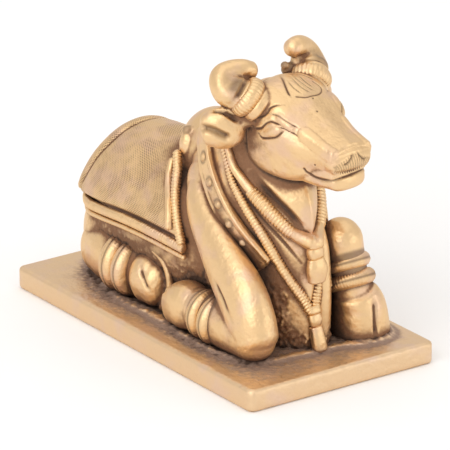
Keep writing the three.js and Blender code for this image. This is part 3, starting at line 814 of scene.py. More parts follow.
for name, side in SIDES.items():
    prouder = LEFT_BROW_PROUDER * (side > 0)
    raised = []
    for i, (forward, left, height, half) in enumerate(HORN):
        # The tip takes the whole rise and the root little of it. The root is pulled in most.
        rise = TIP_RISE[name] * (0.15 + 0.85 * max(i - 3, 0) / 3)
        pull = PULLED_IN[name] * (1 - i / 3)
        raised.append((forward, left - pull, height + rise, half, half))
    limb(head, head_limb(raised, side), HEADING, around=40, rows=70, blunt=(1.0, 0.7))
    face = on_head(HORN_FACE[0], side * (HORN_FACE[1] - PULLED_IN[name]), HORN_FACE[2])
    egg(head, face, (1.6, 2.6, 2.6), turn=math.degrees(HEAD_TURN) + side * 20, tip=-41)
    foot_ring = of_one_width([along_horn(name, steps) for steps in FOOT_STEPS], FOOT_RADIUS)
    limb(head, foot_ring, UPWARD, around=40, rows=24, blunt=(0.25, 0.25))
    limb(head, head_limb(EAR, side), UPWARD, around=36, rows=40, blunt=(0.5, 0.6))
    # The eyeball, the brow over it and the root of the ear.
    for (forward, left, height), halves, tip in (
        ((4.8, 7.3, 42.6), (2.5, 1.0, 1.2), -20),
        ((5.4, 5.8, 44.9), (4.2, 1.4 + prouder, 1.5 + prouder), 24),
        ((-3.4, 10.4, 44.6), (1.9, 1.8, 1.3), 0),
    ):
        place = on_head(forward, side * left, height)
        egg(head, place, halves, turn=math.degrees(HEAD_TURN), tip=tip)
egg(head, on_head(*LUMP), (1.4, 1.7, 1.3))
egg(head, on_head(LUMP[0], LUMP[1] - 1.1, LUMP[2] + 0.9), (0.9, 0.8, 0.8))
head_skin = Skin(melt("head", head, voxel=0.192, rounds=2))


# %% [markdown]
# ## Cutting the face
#
# The face is drawn with a graver. Brows, lids, mouth and the leaf on the forehead are single
# lines, cut once and the same on both sides, apart from the leaf, which lies a little to the left.

# %% Lines of the face
BROW = [
    (0.6, 8.9, 44.2), (2.6, 7.8, 44.8), (3.5, 7.3, 45.7), (3.7, 6.7, 46.4), (4.6, 6.2, 47.1),
    (5.7, 5.0, 47.2),
]
BROW_FOLD = [
    (3.8, 7.3, 45.6), (5.6, 6.8, 45.6), (7.3, 6.6, 45.2), (8.8, 5.9, 44.5), (10.1, 5.2, 43.8),
]
UPPER_LID = [
    (0.5, 9.3, 41.9), (1.3, 8.3, 42.2), (2.8, 8.0, 42.8), (3.9, 8.0, 43.9), (4.8, 7.6, 44.4),
    (6.1, 7.1, 44.2), (7.3, 6.7, 43.9),
]
LID_TAIL = [(6.5, 7.5, 43.9), (7.4, 6.8, 43.6), (8.3, 6.2, 43.3), (10.1, 5.4, 42.4)]
LOWER_LID = [
    (2.0, 7.8, 41.5), (2.7, 7.6, 40.9), (4.3, 7.7, 41.2), (6.3, 7.7, 41.9), (7.3, 7.4, 42.9),
    (7.6, 6.7, 43.6),
]
# Line, half width and depth. The ink, the reach and the fade are the same for all of them.
EYE_LINES = [
    (BROW, 0.3, 0.28), (BROW_FOLD, 0.26, 0.22), (UPPER_LID, 0.34, 0.34), (LID_TAIL, 0.26, 0.22),
    (LOWER_LID, 0.34, 0.34),
]
EYE_GRAVER = (0.75, 2.0, 0.2)
cut_both(head_skin, [(*line, *EYE_GRAVER) for line in EYE_LINES], head_points)

# %% The mouth, the nostrils and the hatch between them
MOUTH = [
    (11.0, 4.9, 37.0), (11.6, 4.8, 36.2), (12.8, 4.6, 35.7), (14.4, 4.4, 35.6), (16.2, 4.2, 35.8),
    (17.5, 2.4, 36.1), (18.0, 0.0, 36.2),
]
MOUTH_TILT = 0.07
NOSTRIL = [(18.9, 0.7, 40.6), (19.1, 1.0, 39.9), (18.8, 1.9, 39.0), (18.4, 2.6, 38.8)]
NOSE_EDGE = [(17.5, 4.7, 40.3), (18.0, 3.6, 40.7), (18.3, 2.0, 41.0), (18.4, 0.0, 41.1)]
SNOUT_EDGE = [
    (11.2, 5.2, 43.2), (12.4, 5.0, 42.7), (13.6, 4.9, 42.1), (15.6, 4.8, 41.3), (17.2, 4.6, 40.8),
]
for side in SIDES.values():
    mouth = [(forward, left, height + side * MOUTH_TILT * left) for forward, left, height in MOUTH]
    head_skin.cut(head_points(mouth, side), 0.4, 0.3, ink_and_shade=0.8, reach=2.0)
    head_skin.cut(head_points(NOSTRIL, side), 0.32, 0.35, fade=0.1)
    head_skin.raise_bead(head_points(NOSE_EDGE, side), 0.6, 0.3)
    head_skin.raise_bead(head_points(SNOUT_EDGE, side), 1.5, 0.28, reach=2.1)
# Upright strokes all across the muzzle, from under the nose's edge down to the lip.
STROKE_PITCH = 0.52
STROKES_EACH_SIDE = 9
STROKE_TOP = 40.2
STROKE_TOP_FALL = 0.35
for i in range(-STROKES_EACH_SIDE, STROKES_EACH_SIDE):
    left = i * STROKE_PITCH
    top = STROKE_TOP - STROKE_TOP_FALL * abs(left)
    stroke = [(18.6, left - 0.5, top), (18.8, left, 38.2), (18.2, left + 0.6, 36.8)]
    head_skin.cut(head_points(stroke), 0.2, 0.14, ink_and_shade=0.6)

# %% The leaf on the forehead
LEAF_LEFT = [(-0.9, -0.5, 50.2), (1.7, -1.8, 49.8), (3.9, -2.8, 48.7), (5.0, -3.0, 48.1)]
LEAF_TOP = [(-0.9, 0.8, 50.2), (-0.3, 2.0, 50.1), (0.7, 3.3, 49.7), (2.2, 4.5, 49.0)]
LEAF_RIGHT = [
    (3.0, 4.1, 48.8), (4.2, 4.6, 48.2), (5.2, 4.3, 47.8), (6.0, 3.0, 47.6), (6.2, 1.0, 47.7),
    (6.1, -0.6, 47.7), (5.4, -2.1, 48.0),
]
LEAF_VEINS = [
    [(1.1, 0.3, 50.2), (3.5, 0.0, 49.5), (5.0, 0.4, 48.8), (5.8, 1.4, 48.2)],
    [(1.7, -1.0, 50.0), (3.8, -1.3, 49.1), (5.4, -0.9, 48.3)],
    [(0.8, 2.4, 49.7), (3.0, 2.2, 49.2), (4.7, 2.8, 48.4)],
    [(0.4, 1.2, 50.1), (2.6, 1.0, 49.6), (4.6, 1.6, 48.8), (5.4, 2.6, 48.1)],
]
head_skin.cut(head_points(LEAF_LEFT), 0.34, 0.26, ink_and_shade=0.75, fade=0.2)
head_skin.cut(head_points(LEAF_TOP), 0.24, 0.14, ink_and_shade=0.6)
head_skin.cut(head_points(LEAF_RIGHT), 0.27, 0.18, ink_and_shade=0.65)
for vein in LEAF_VEINS:
    head_skin.cut(head_points(vein), 0.22, 0.13, ink_and_shade=0.7, fade=0.2)
# Small pits that the casting left on the nose and the cheek.
PITS = [(9.0, -0.3, 45.7), (13.5, -4.6, 38.0), (6.6, 0.8, 47.3)]
for pit in PITS:
    head_skin.cut(head_points([pit]), 0.3, 0.16)

# %% The slits of the ears and the hollows and shade of the horns
ABOVE_EAR = [
    (-4.6, 13.6, 45.4), (-3.7, 12.8, 45.5), (-2.7, 12.0, 45.1), (-1.7, 11.2, 44.4),
    (-0.8, 10.1, 43.4),
]
EAR_SLIT = [(-5.2, 15.2, 42.4), (-4.0, 14.2, 42.2), (-3.2, 13.2, 41.7), (-2.0, 12.4, 41.0)]
BEHIND_JAW = [(-2.4, 8.4, 43.0), (-2.7, 7.8, 41.0), (-2.8, 7.4, 39.0), (-2.8, 6.8, 36.8)]
HORN_DISH = [(-0.6, 11.2, 49.5), (-2.1, 11.4, 50.7), (-2.8, 10.2, 51.6), (-3.0, 8.4, 52.0)]
HORN_VALLEY = [(-1.4, 11.9, 46.9), (-0.2, 11.1, 49.0), (-0.6, 9.4, 50.6), (-2.7, 6.4, 50.9)]
HORN_SHADE = [(-1.0, 11.5, 48.2), (-1.2, 11.2, 49.9), (-1.7, 9.8, 51.1), (-2.6, 7.8, 51.6)]
HEAD_CUTS = [
    (HORN_DISH, 2.4, 0.7, 0.4, 3.6, 0.4),
    (HORN_SHADE, 2.4, 0.1, 0.8, 3.4, 0.3),
    (HORN_VALLEY, 0.9, 0.7, 0.8, 2.2, 0.3),
    (EAR_SLIT, 1.1, 1.0, 0.8, 2.2),
    (ABOVE_EAR, 0.8, 0.6, 0.9, 2.2, 0.15),
    (BEHIND_JAW, 0.8, 0.45, 0.7, 2.2),
]
cut_both(head_skin, HEAD_CUTS, head_points)
head_skin.cut([on_head(*LUMP)], 3.0, 0.05, ink_and_shade=0.8, reach=3.2)
head_skin.finish()

# %% The ribbed collars at the horns' roots
COLLAR_RADIUS = 2.9
COLLAR_CORNERS = 24
collars = bmesh.new()
for name in SIDES:
    root = np.array(along_horn(name, 0.0))
    axis = unit(np.array(along_horn(name, 1.0)) - root)
    first = unit(np.cross(axis, UPWARD))
    second = np.cross(axis, first)
    loop = []
    for angle in np.linspace(0, 2 * math.pi, COLLAR_CORNERS + 1):
        place = root + COLLAR_RADIUS * (math.cos(angle) * first + math.sin(angle) * second)
        loop.append((*place, 1.0, 1.45))
    cord(collars, loop, axis, 20, RIB_PITCH, 0.16, blunt=(0.1, 0.1))
print("collars have", len(collars.faces), "faces")


# %% [markdown]
# ## The legs
#
# The right foreleg comes down smooth to a knee on the slab and folds back under itself. The left
# one is drawn up and stands on its hoof. The hind legs lie along the flanks. Each wears two
# rings above a plain cleft hoof. The rings are waisted and faintly ribbed, and they are forms of
# their own, as the cords are.


# %% Leg rings
RING_RIB_PITCH = 0.6
RING_CROWN = 0.4
WAIST_SPREAD = 0.22
rings = bmesh.new()
ring_waists = []


def leg_ring(centre, direction, radius, half_length, up=UPWARD, depth=0.02, waist=0.2):
    """A ring round a leg: a barrel with a groove round its waist and fine ribs along it."""
    centre, direction = np.array(centre), unit(np.array(direction))
    ring_waists.append((centre, direction, radius, half_length))
    stations = []
    for share in np.linspace(-1, 1, 9):
        groove = waist * math.exp(-((share / WAIST_SPREAD) ** 2))
        half = radius - RING_CROWN * share**2 - groove
        stations.append((*(centre + direction * half_length * share), half, half))
    count = round(2 * math.pi * radius / RING_RIB_PITCH)

    def lift(travelled, turns):
        return depth * np.cos(count * turns)

    limb(rings, stations, up, around=count * 3, rows=26, blunt=(0.2, 0.2), relief=lift)


# %% The right foreleg
RIGHT_ARM = [
    (2.2, -4.9, 30.5, 2.8, 2.5), (6.6, -9.0, 23.6, 3.6, 2.8), (13.8, -10.7, 17.6, 4.8, 2.9),
    (21.0, -11.0, 11.5, 5.9, 3.9), (24.4, -11.2, 7.0, 5.8, 4.2), (26.2, -11.2, 4.0, 4.8, 4.1),
]
RIGHT_SHIN = [
    (25.7, -11.2, 4.0, 4.4, 4.1), (19.0, -11.9, 4.6, 5.0, 4.0), (14.0, -12.2, 4.6, 4.4, 3.7),
    (10.5, -12.3, 4.8, 4.2, 3.6),
]
RIGHT_HOOF = [(9.4, -12.2, 4.8, 4.2, 3.7), (6.4, -12.4, 4.6, 4.6, 4.0), (3.6, -12.5, 3.8, 3.8, 3.4)]
right_foreleg = bmesh.new()
limb(right_foreleg, RIGHT_ARM, LEFTWARD, around=64, rows=90, blunt=(1.0, 0.7))
limb(right_foreleg, RIGHT_SHIN, LEFTWARD, around=56, rows=60)
limb(right_foreleg, RIGHT_HOOF, LEFTWARD, around=56, rows=40, power=2.3, blunt=(0.4, 0.7))
BACKWARD = (-1.0, -0.04, 0.0)
leg_ring((16.0, -12.1, 4.6), BACKWARD, 4.9, 1.1)
leg_ring((12.6, -12.2, 4.7), BACKWARD, 4.8, 1.0)
right_foreleg_skin = Skin(melt("right_foreleg", right_foreleg, voxel=0.26, rounds=3))
KNEE_CREASE = [(17.6, -15.2, 13.4), (19.0, -15.3, 12.6), (21.6, -15.4, 10.8), (24.7, -15.4, 7.9)]
right_foreleg_skin.cut(KNEE_CREASE, 0.7, 0.35, ink_and_shade=0.55, reach=2.0, fade=0.35)
RIGHT_CLEFT = [(3.2, -14.8, 7.4), (1.4, -14.6, 5.6), (0.9, -14.2, 3.0)]
right_foreleg_skin.cut(RIGHT_CLEFT, 0.6, 0.4, ink_and_shade=0.6, reach=2.0)
right_foreleg_skin.finish()

# %% The left foreleg
LEFT_ARM = [
    (2.2, 4.9, 30.5, 2.8, 2.5), (5.4, 7.8, 24.6, 3.8, 3.1), (8.4, 8.6, 18.6, 4.8, 3.9),
    (13.5, 9.4, 12.2, 5.0, 4.2), (19.5, 9.0, 14.4, 4.4, 3.9), (24.6, 9.2, 18.4, 4.1, 3.9),
]
LEFT_SHIN = [(24.6, 9.2, 18.4, 4.1, 3.9), (25.3, 10.2, 12.5, 3.6, 3.5), (25.8, 11.0, 8.0, 3.6, 3.5)]
LEFT_HOOF = [(26.2, 11.4, 7.8, 4.3, 4.2), (26.1, 12.2, 5.0, 5.1, 4.8), (26.0, 12.6, 0.6, 5.7, 5.2)]
left_foreleg = bmesh.new()
limb(left_foreleg, LEFT_ARM, LEFTWARD, around=56, rows=90)
limb(left_foreleg, LEFT_SHIN, LEFTWARD, around=56, rows=50)
limb(left_foreleg, LEFT_HOOF, LEFTWARD, around=60, rows=40, power=2.3, blunt=(0.35, 0.3))
DOWNWARD = (0.43, 0.01, -0.9)
leg_ring((25.2, 10.1, 13.8), DOWNWARD, 4.4, 0.95, LEFTWARD, waist=0.06)
leg_ring((25.5, 10.7, 10.4), DOWNWARD, 4.7, 1.0, LEFTWARD, depth=0.07, waist=0.06)
left_foreleg_skin = Skin(melt("left_foreleg", left_foreleg, voxel=0.26, rounds=3))
LEFT_CLEFT = [(29.9, 12.4, 7.6), (30.8, 12.1, 4.2), (31.5, 12.0, 0.8)]
left_foreleg_skin.cut(LEFT_CLEFT, 0.7, 0.5, ink_and_shade=0.6, reach=2.0, fade=0.2)
left_foreleg_skin.finish()

# %% The hind legs and the tail
SHANK = [
    (-26.5, 9.0, 5.0, 4.0, 5.4), (-21.0, 10.0, 5.4, 4.4, 5.8), (-15.0, 10.6, 5.6, 3.8, 5.0),
    (-10.5, 10.6, 5.6, 3.6, 4.8),
]
HIND_HOOF = [(-9.6, 10.8, 5.2, 3.4, 4.4), (-7.2, 11.1, 5.3, 4.2, 5.1), (-5.0, 11.3, 4.9, 3.6, 4.6)]
HOOF_RIDGE = [
    (-4.8, 11.8, 11.8), (-2.2, 11.5, 10.3), (-1.0, 11.2, 7.6), (-1.0, 11.2, 4.6), (-2.6, 11.6, 1.0),
]
HIND_CLEFT = [(-6.0, 14.4, 8.6), (-4.6, 14.6, 6.6), (-3.4, 13.4, 4.3)]
# The inner half of the hoof: along, across and height of its middle, and its half sizes.
INNER_TOE = ((-4.4, 8.0, 4.6), (5.6, 3.6, 5.0))
TOE_TURN = 12
hind_legs = bmesh.new()


def on_side(stations, side):
    """Stations of the bull's left, or the same ones on its right."""
    return [(along, side * across, *rest) for along, across, *rest in stations]


for side in SIDES.values():
    limb(hind_legs, on_side(SHANK, side), UPWARD, around=56, rows=60)
    limb(hind_legs, on_side(HIND_HOOF, side), UPWARD, around=56, rows=44, blunt=(0.5, 0.9))
    (along, across, height), halves = INNER_TOE
    toe = (along, side * across, height)
    egg(hind_legs, toe, halves, turn=-side * TOE_TURN, around=48, rows=36)
    ridge = of_one_width(mirrored(HOOF_RIDGE, side), 0.8)
    limb(hind_legs, ridge, AHEAD, around=16, rows=40)
    forward = (1.0, -side * 0.1, 0.0)
    leg_ring((-16.7, side * 10.4, 5.4), forward, 5.9, 1.3)
    leg_ring((-12.9, side * 10.7, 5.4), forward, 5.6, 1.2)
TAIL = [
    (-30.6, 0.6, 23.0, 1.3, 1.3), (-33.4, 1.6, 18.4, 1.3, 1.3), (-34.4, 4.0, 12.0, 1.2, 1.2),
    (-33.0, 7.5, 6.0, 1.2, 1.2), (-28.5, 12.2, 2.4, 1.3, 1.3), (-22.5, 15.0, 1.8, 1.9, 1.7),
    (-18.5, 15.4, 1.4, 1.0, 1.0),
]
limb(hind_legs, TAIL, LEFTWARD, around=32, rows=90)
hind_skin = Skin(melt("hind_legs_and_tail", hind_legs, voxel=0.27, rounds=3))
cut_both(hind_skin, [(HIND_CLEFT, 0.6, 0.5, 0.7, 2.0, 0.25)])
for strand in THREE_ABREAST:
    tuft = [(-24.5, 15.6, 2.6 + strand), (-22.0, 16.8, 2.2 + strand), (-18.8, 16.4, 1.5)]
    hind_skin.cut(tuft, 0.3, 0.25, reach=1.6)
hind_skin.finish()
print("leg rings have", len(rings.faces), "faces")

# %% [markdown]
# ## The slab and the edge where the bull meets it
#
# The slab is a cube with its four upright edges bevelled round, and then all its long edges
# softened. Where the figure meets it the wax was pressed down with a tool, and left a low lumpy
# seam all round.

# %% The slab
slab = bmesh.new()
bmesh.ops.create_cube(slab, size=1.0)
bmesh.ops.scale(slab, vec=(DRAWN_LENGTH, SLAB_WIDTH, SLAB_THICKNESS), verts=slab.verts)
bmesh.ops.translate(slab, vec=(0, 0, -SLAB_THICKNESS / 2), verts=slab.verts)
upright = [edge for edge in slab.edges if abs(edge.verts[0].co.z - edge.verts[1].co.z) > 1]
bmesh.ops.bevel(
    slab, geom=upright, offset=SLAB_CORNER, segments=8, profile=0.5, affect="EDGES", material=-1
)
level = [edge for edge in slab.edges if abs(edge.verts[0].co.z - edge.verts[1].co.z) < 1e-6]
bmesh.ops.bevel(
    slab, geom=level, offset=SLAB_EDGE, segments=3, profile=0.5, affect="EDGES", material=-1
)
SEAM = [
    (-33.5, -6.5), (-26.1, -10.4), (-19.6, -12.6), (-11.3, -14.2), (-4.0, -14.0), (3.4, -14.6),
    (10.8, -15.2), (18.1, -15.0), (24.6, -13.6), (28.2, -10.0), (28.8, -5.0), (29.6, 0.0),
    (30.0, 5.5), (31.4, 9.5), (31.0, 15.4), (25.5, 17.6), (20.0, 15.5), (17.0, 10.5),
    (9.0, 9.5), (0.0, 12.6), (-6.0, 14.4), (-14.0, 14.4), (-22.0, 15.4), (-29.5, 12.0),
    (-34.2, 6.0), (-35.0, -1.0), (-33.5, -6.5),
]
SEAM_HALF = 1.15
SEAM_LUMPS = 0.3
seam = []
for i, (x, y) in enumerate(SEAM):
    seam.append((x, y, -0.15, SEAM_HALF + SEAM_LUMPS * math.sin(5 * i), 0.75))
limb(slab, seam, UPWARD, around=20, rows=520, blunt=(0.3, 0.3))
slab_skin = Skin(melt("slab", slab, voxel=0.45, rounds=2))


# %% [markdown]
# ## Where the dark stays, and where shade is painted
#
# Brass darkens in the hollows, where a buff can't reach, and the hollows are also where shade
# falls. The materials paint both from one measure, so the darkening in hollows is partly that
# patina and partly painted shade. So each piece needs to know how hollow every place on it is.
# The finished figure is set out on a grid of small cells, each as full as the metal fills it. A
# blurred copy of the grid then says how much metal there is round any place: half on a flat face,
# more in a hollow, less on an edge. A short blur finds the creases and a long one the wide
# recesses, such as the sides of the keel. Both are kept as attributes of the mesh, for the
# materials to read.

# %% Bring the loose cords to skins of their own
def skin_from(name, bm):
    """The skin of forms that are kept as they were drawn."""
    mesh = bpy.data.meshes.new(name)
    bm.to_mesh(mesh)
    bm.free()
    return Skin(mesh)


pieces = {
    "body_and_cloth": body_skin,
    "cloth_borders": skin_from("cloth_borders", trim),
    "neck_and_chest": neck_skin,
    "harness": skin_from("harness", harness),
    "head": head_skin,
    "horn_collars": skin_from("horn_collars", collars),
    "right_foreleg": right_foreleg_skin,
    "left_foreleg": left_foreleg_skin,
    "hind_legs_and_tail": hind_skin,
    "leg_rings": skin_from("leg_rings", rings),
    "slab": slab_skin,
}

# %% Dark round the studs and along the waists and ends of the leg rings
TRACE = 0.75
STUD_DARK_BAND = 0.25
RING_WAIST_BAND = 0.28
RING_REACH = 1.5
LEG_DARK_BEYOND = 1.2
LEG_DARK_FADE = 0.7
for stud in studs:
    away = np.linalg.norm(pieces["harness"].places - stud, axis=1)
    off_band = (away - STUD_RADIUS - STUD_DARK_BAND) / STUD_DARK_BAND
    dark = TRACE * np.exp(-(off_band**2))
    pieces["harness"].ink_and_shade = np.maximum(pieces["harness"].ink_and_shade, dark)
for centre, direction, radius, half_length in ring_waists:
    for name in ("leg_rings", "right_foreleg", "left_foreleg", "hind_legs_and_tail"):
        away = pieces[name].places - centre
        along = np.abs(away @ direction)
        near = np.linalg.norm(away, axis=1) < radius + RING_REACH
        dark = soft_step(half_length + LEG_DARK_BEYOND - along, 0, LEG_DARK_FADE)
        if name == "leg_rings":
            dark = np.exp(-((along / RING_WAIST_BAND) ** 2))
        pieces[name].ink_and_shade = np.maximum(pieces[name].ink_and_shade, TRACE * dark * near)


# %% The whole figure as one set of triangles
starts, all_places, all_triangles = 0, [], []
for piece in pieces.values():
    piece.mesh.calc_loop_triangles()
    corners = read_rows(piece.mesh.loop_triangles, "vertices", 3, np.int64)
    all_places.append(piece.places)
    all_triangles.append(corners + starts)
    starts += len(piece.places)
whole = BVHTree.FromPolygons(
    np.concatenate(all_places).tolist(), np.concatenate(all_triangles).tolist(), epsilon=0.0
)
print("the figure has", starts, "vertices and", sum(map(len, all_triangles)), "triangles")

# %% A grid of cells filled by the figure
CELL = 0.45
MARGIN = 7.0
lowest = np.array([-DRAWN_LENGTH / 2, -SLAB_WIDTH / 2, -SLAB_THICKNESS]) - MARGIN
highest = np.array([DRAWN_LENGTH / 2, SLAB_WIDTH / 2, max(head_skin.places[:, 2])]) + MARGIN
cell_counts = np.ceil((highest - lowest) / CELL).astype(int)
cells = np.zeros(cell_counts)
floors = lowest[2] + CELL * np.arange(cell_counts[2])


def fill_column(column, x, y):
    """Fills a column of cells where a line straight down through the figure is in metal."""
    height, depth, top = highest[2], 0, 0.0
    while True:
        met, normal, _, _ = whole.ray_cast((x, y, height), (0.0, 0.0, -1.0))
        if met is None:
            return
        entering = normal.z > 0
        if entering and depth == 0:
            top = met.z
        depth = max(depth + (1 if entering else -1), 0)
        if not entering and depth == 0:
            filled = np.minimum(top, floors + CELL) - np.maximum(met.z, floors)
            column += np.clip(filled / CELL, 0, 1)
        height = met.z - NUDGE


for i in range(cell_counts[0]):
    for j in range(cell_counts[1]):
        fill_column(cells[i, j], lowest[0] + (i + 0.5) * CELL, lowest[1] + (j + 0.5) * CELL)
print("the figure's metal", round(cells.sum() * CELL**3 / 1000, 1), "cubic centimetres")


# %% Creases and recesses read from it
def blurred(reach):
    """The share of metal within about a reach of every cell."""
    waves = np.fft.rfftn(cells)
    for axis, count in enumerate(cells.shape):
        lengths = (np.fft.rfftfreq if axis == 2 else np.fft.fftfreq)(count) / CELL
        fade = np.exp(-2 * (math.pi * reach * lengths) ** 2)
        waves *= fade.reshape([-1 if i == axis else 1 for i in range(3)])
    return np.fft.irfftn(waves, cells.shape)


def read_at(values, places):
    """The values of the cells at places between their middles."""
    where = (places - lowest) / CELL - 0.5
    corner = np.floor(where).astype(int)
    inside = where - corner
    total = np.zeros(len(places))
    for step in np.ndindex(2, 2, 2):
        x, y, z = (corner + step).T
        total += np.prod(np.where(step, inside, 1 - inside), axis=1) * values[x, y, z]
    return total


NEAR_BLUR = 0.55
WIDE_BLUR = 2.6
LOOKED_AT = 0.2
# On a flat face a little less than half of what is near is metal.
METAL_ON_A_FLAT = 0.45
METAL_RANGE = 0.3
# What stands proud is measured from the same skin after a few rounds of flattening.
FLATTENING_ROUNDS = 5
PROUD_RANGE = 0.1


def hollowness(metal, places):
    """How hollow places are, from -1 on an edge to 1 deep in, from a blurred grid of metal."""
    return np.clip((read_at(metal, places) - METAL_ON_A_FLAT) / METAL_RANGE, -1, 1)


# Crease and recess darken the brass in the materials, as patina and as painted shade. Recess also
# says where the sand goes.
near_metal, wide_metal = blurred(NEAR_BLUR), blurred(WIDE_BLUR)
for name, piece in pieces.items():
    outside = piece.places + LOOKED_AT * piece.normals
    piece.crease = hollowness(near_metal, outside)
    piece.recess = hollowness(wide_metal, outside)
    counts = np.maximum(np.bincount(piece.edges.ravel(), minlength=len(outside)), 1)
    flattened = piece.places.copy()
    for _ in range(FLATTENING_ROUNDS):
        flattened = (flattened + neighbour_means(flattened, piece.edges, counts)) / 2
    standing = np.einsum("ij,ij->i", piece.places - flattened, piece.normals)
    piece.proud = standing / PROUD_RANGE
    print(name, "crease", np.percentile(piece.crease, (5, 50, 95)).round(2),
          "recess", np.percentile(piece.recess, (5, 50, 95)).round(2))


# %% [markdown]
# ## The skin of the casting
#
# Deep between the legs and the chest, and round the bull's foot on the slab, the metal has
# never been touched since it was poured, and it is rough like coarse sand. Noise moves the
# vertices there, and only there, so the buffed places stay smooth.


# %% Where the dark skin lies on the slab
# The edge of the dark skin on the slab's top, along and across.
PATINA_EDGE = np.array(
    [
        (-30.0, -12.0), (-20.4, -17.6), (-11.0, -20.0), (3.3, -18.6), (18.5, -18.1), (29.4, -19.2),
        (36.3, -17.5), (37.4, -9.7), (36.5, 1.4), (36.6, 11.5), (31.4, 17.0), (15.0, 18.6),
        (-5.0, 18.0), (-20.0, 18.4), (-31.0, 13.0), (-35.6, 5.0), (-35.2, -4.0), (-30.0, -12.0),
    ]
)


def inside_outline(places, outline):
    """How far each place is inside a closed outline in plan. Outside it is less than nothing."""
    nearest = np.full(len(places), np.inf)
    within = np.zeros(len(places), bool)
    x, y = places[:, 0], places[:, 1]
    for start, end in zip(outline[:-1], outline[1:]):
        along, length = end - start, (end - start) @ (end - start)
        share = ((x - start[0]) * along[0] + (y - start[1]) * along[1]) / length
        share = np.clip(share, 0, 1)
        away = np.hypot(x - start[0] - share * along[0], y - start[1] - share * along[1])
        nearest = np.minimum(nearest, away)
        crosses = (start[1] > y) != (end[1] > y)
        across = start[0] + (y - start[1]) / (along[1] if along[1] else 1.0) * along[0]
        within ^= crosses & (x < across)
    return np.where(within, nearest, -nearest)


# It fades from a little outside that edge to further inside it, and only the top has it.
PATINA_FADE = (-0.7, 1.6)
FACES_UP = 0.5
patina = soft_step(inside_outline(slab_skin.places, PATINA_EDGE), *PATINA_FADE)
patina *= slab_skin.normals[:, 2] > FACES_UP


# %% Roughen the untouched places
def sand(places, size):
    """Noise with grains of a size in millimetres."""
    return np.array([noise.noise(Vector(place) / size) for place in places.tolist()])


COARSE_SAND = 0.85
FINE_SAND = 0.45
FINE_SHARE = 0.6
# The buff reaches whatever is higher than the first height, and hardly what is below the second.
SAND_TOP = 15.0
SAND_FULL = 9.0
# How deep in a hollow the sand starts and is full, and how faint it is where it is left out.
SAND_HOLLOWS = (0.05, 0.4)
SAND_LEAST = 0.02
SLAB_SIDES_BELOW = -1
GRIT_HEIGHT = {"body_and_cloth": 0.22, "neck_and_chest": 0.42, "slab": 0.3}
ROUGH_ELSEWHERE = 0.15
SAND_ON_SLAB = 0.7
# What stands proud is rubbed bright even where it lies in a hollow, and so is most of the slab.
# Each share scales the recess, so it lightens both the patina of the hollows and their painted
# shade.
RUBBED_AND_LESS_SHADED = {
    "harness": 0.5, "cloth_borders": 0.4, "horn_collars": 0.4, "right_foreleg": 0.75, "slab": 0.35,
}
for name, piece in pieces.items():
    low = 1 - soft_step(piece.places[:, 2], SAND_FULL, SAND_TOP)
    rough = soft_step(piece.recess, *SAND_HOLLOWS) * low
    if name not in GRIT_HEIGHT:
        rough = rough * ROUGH_ELSEWHERE
    if name == "slab":
        rough = (1 - SAND_ON_SLAB) * patina + SAND_ON_SLAB * rough
        rough = rough * (piece.places[:, 2] > SLAB_SIDES_BELOW)
    piece.recess = piece.recess * RUBBED_AND_LESS_SHADED.get(name, 1.0)
    chosen = np.flatnonzero(rough > SAND_LEAST)
    grit = np.zeros(len(rough))
    grit[chosen] = sand(piece.places[chosen], COARSE_SAND)
    grit[chosen] += FINE_SHARE * sand(piece.places[chosen], FINE_SAND)
    piece.grit = grit * rough
    raised = piece.grit * GRIT_HEIGHT.get(name, 0.0)
    set_places(piece.mesh, piece.places + piece.normals * raised[:, None])

# %% The pieces as objects in the frame
TO_FRAME = Matrix.Scale(MILLIMETRE, 4) @ Matrix.Translation((0, 0, SLAB_THICKNESS))
objects = {}


def keep_values(mesh, label, values):
    """Keeps one value for each vertex on a mesh, for the materials to read."""
    attribute = mesh.attributes.new(label, "FLOAT", "POINT")
    attribute.data.foreach_set("value", np.ascontiguousarray(values, np.float32))


for name, piece in pieces.items():
    for label in ("crease", "recess", "proud", "ink_and_shade", "grit"):
        keep_values(piece.mesh, label, getattr(piece, label))
    piece.mesh.transform(TO_FRAME)
    piece.mesh.shade_smooth()
    made = bpy.data.objects.new(name, piece.mesh)
    bpy.context.collection.objects.link(made)
    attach(made, "root")
    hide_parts("nandi_bull_figure")
    objects[name] = made
    print(name, len(piece.mesh.polygons), "faces")


# %% [markdown]
# ## Where the punched hatch goes
#
# The cloth was punched all over with a fine crossed hatch, about two lines to a millimetre. That
# is too fine for the mesh, so it is a bump in the material. Two more attributes tell the
# material how far along and how far round the body a place is, and a third where the cloth is.

# %% Attributes for the hatch
BODY_AXIS_HEIGHT = 14.0
BODY_GIRTH_RADIUS = 14.5
along, across, height = body_skin.places.T
round_body = np.arctan2(height - BODY_AXIS_HEIGHT, np.abs(across)) * BODY_GIRTH_RADIUS
climbed = (height - HEM_HEIGHT) / (CLOTH_TOP - HEM_HEIGHT)
front_edge = CLOTH_FRONT_AT_HEM + (CLOTH_FRONT_AT_BACK - CLOTH_FRONT_AT_HEM) * climbed
from_hump = np.linalg.norm((body_skin.places - HUMP) / HUMP_HALVES, axis=1)
# The hatch fades out just inside each edge of the cloth, and round the hump.
on_cloth = (
    soft_step(height, HEM_HEIGHT + 0.4, HEM_HEIGHT + 1.2)
    * soft_step(front_edge - along, 1.6, 2.4)
    * soft_step(along - CLOTH_REAR, 0.8, 1.8)
    * soft_step(from_hump, 1.04, 1.16)
)
for label, values in (("along", along), ("round", round_body), ("cloth", on_cloth)):
    keep_values(objects["body_and_cloth"].data, label, values)
keep_values(objects["slab"].data, "patina", patina)

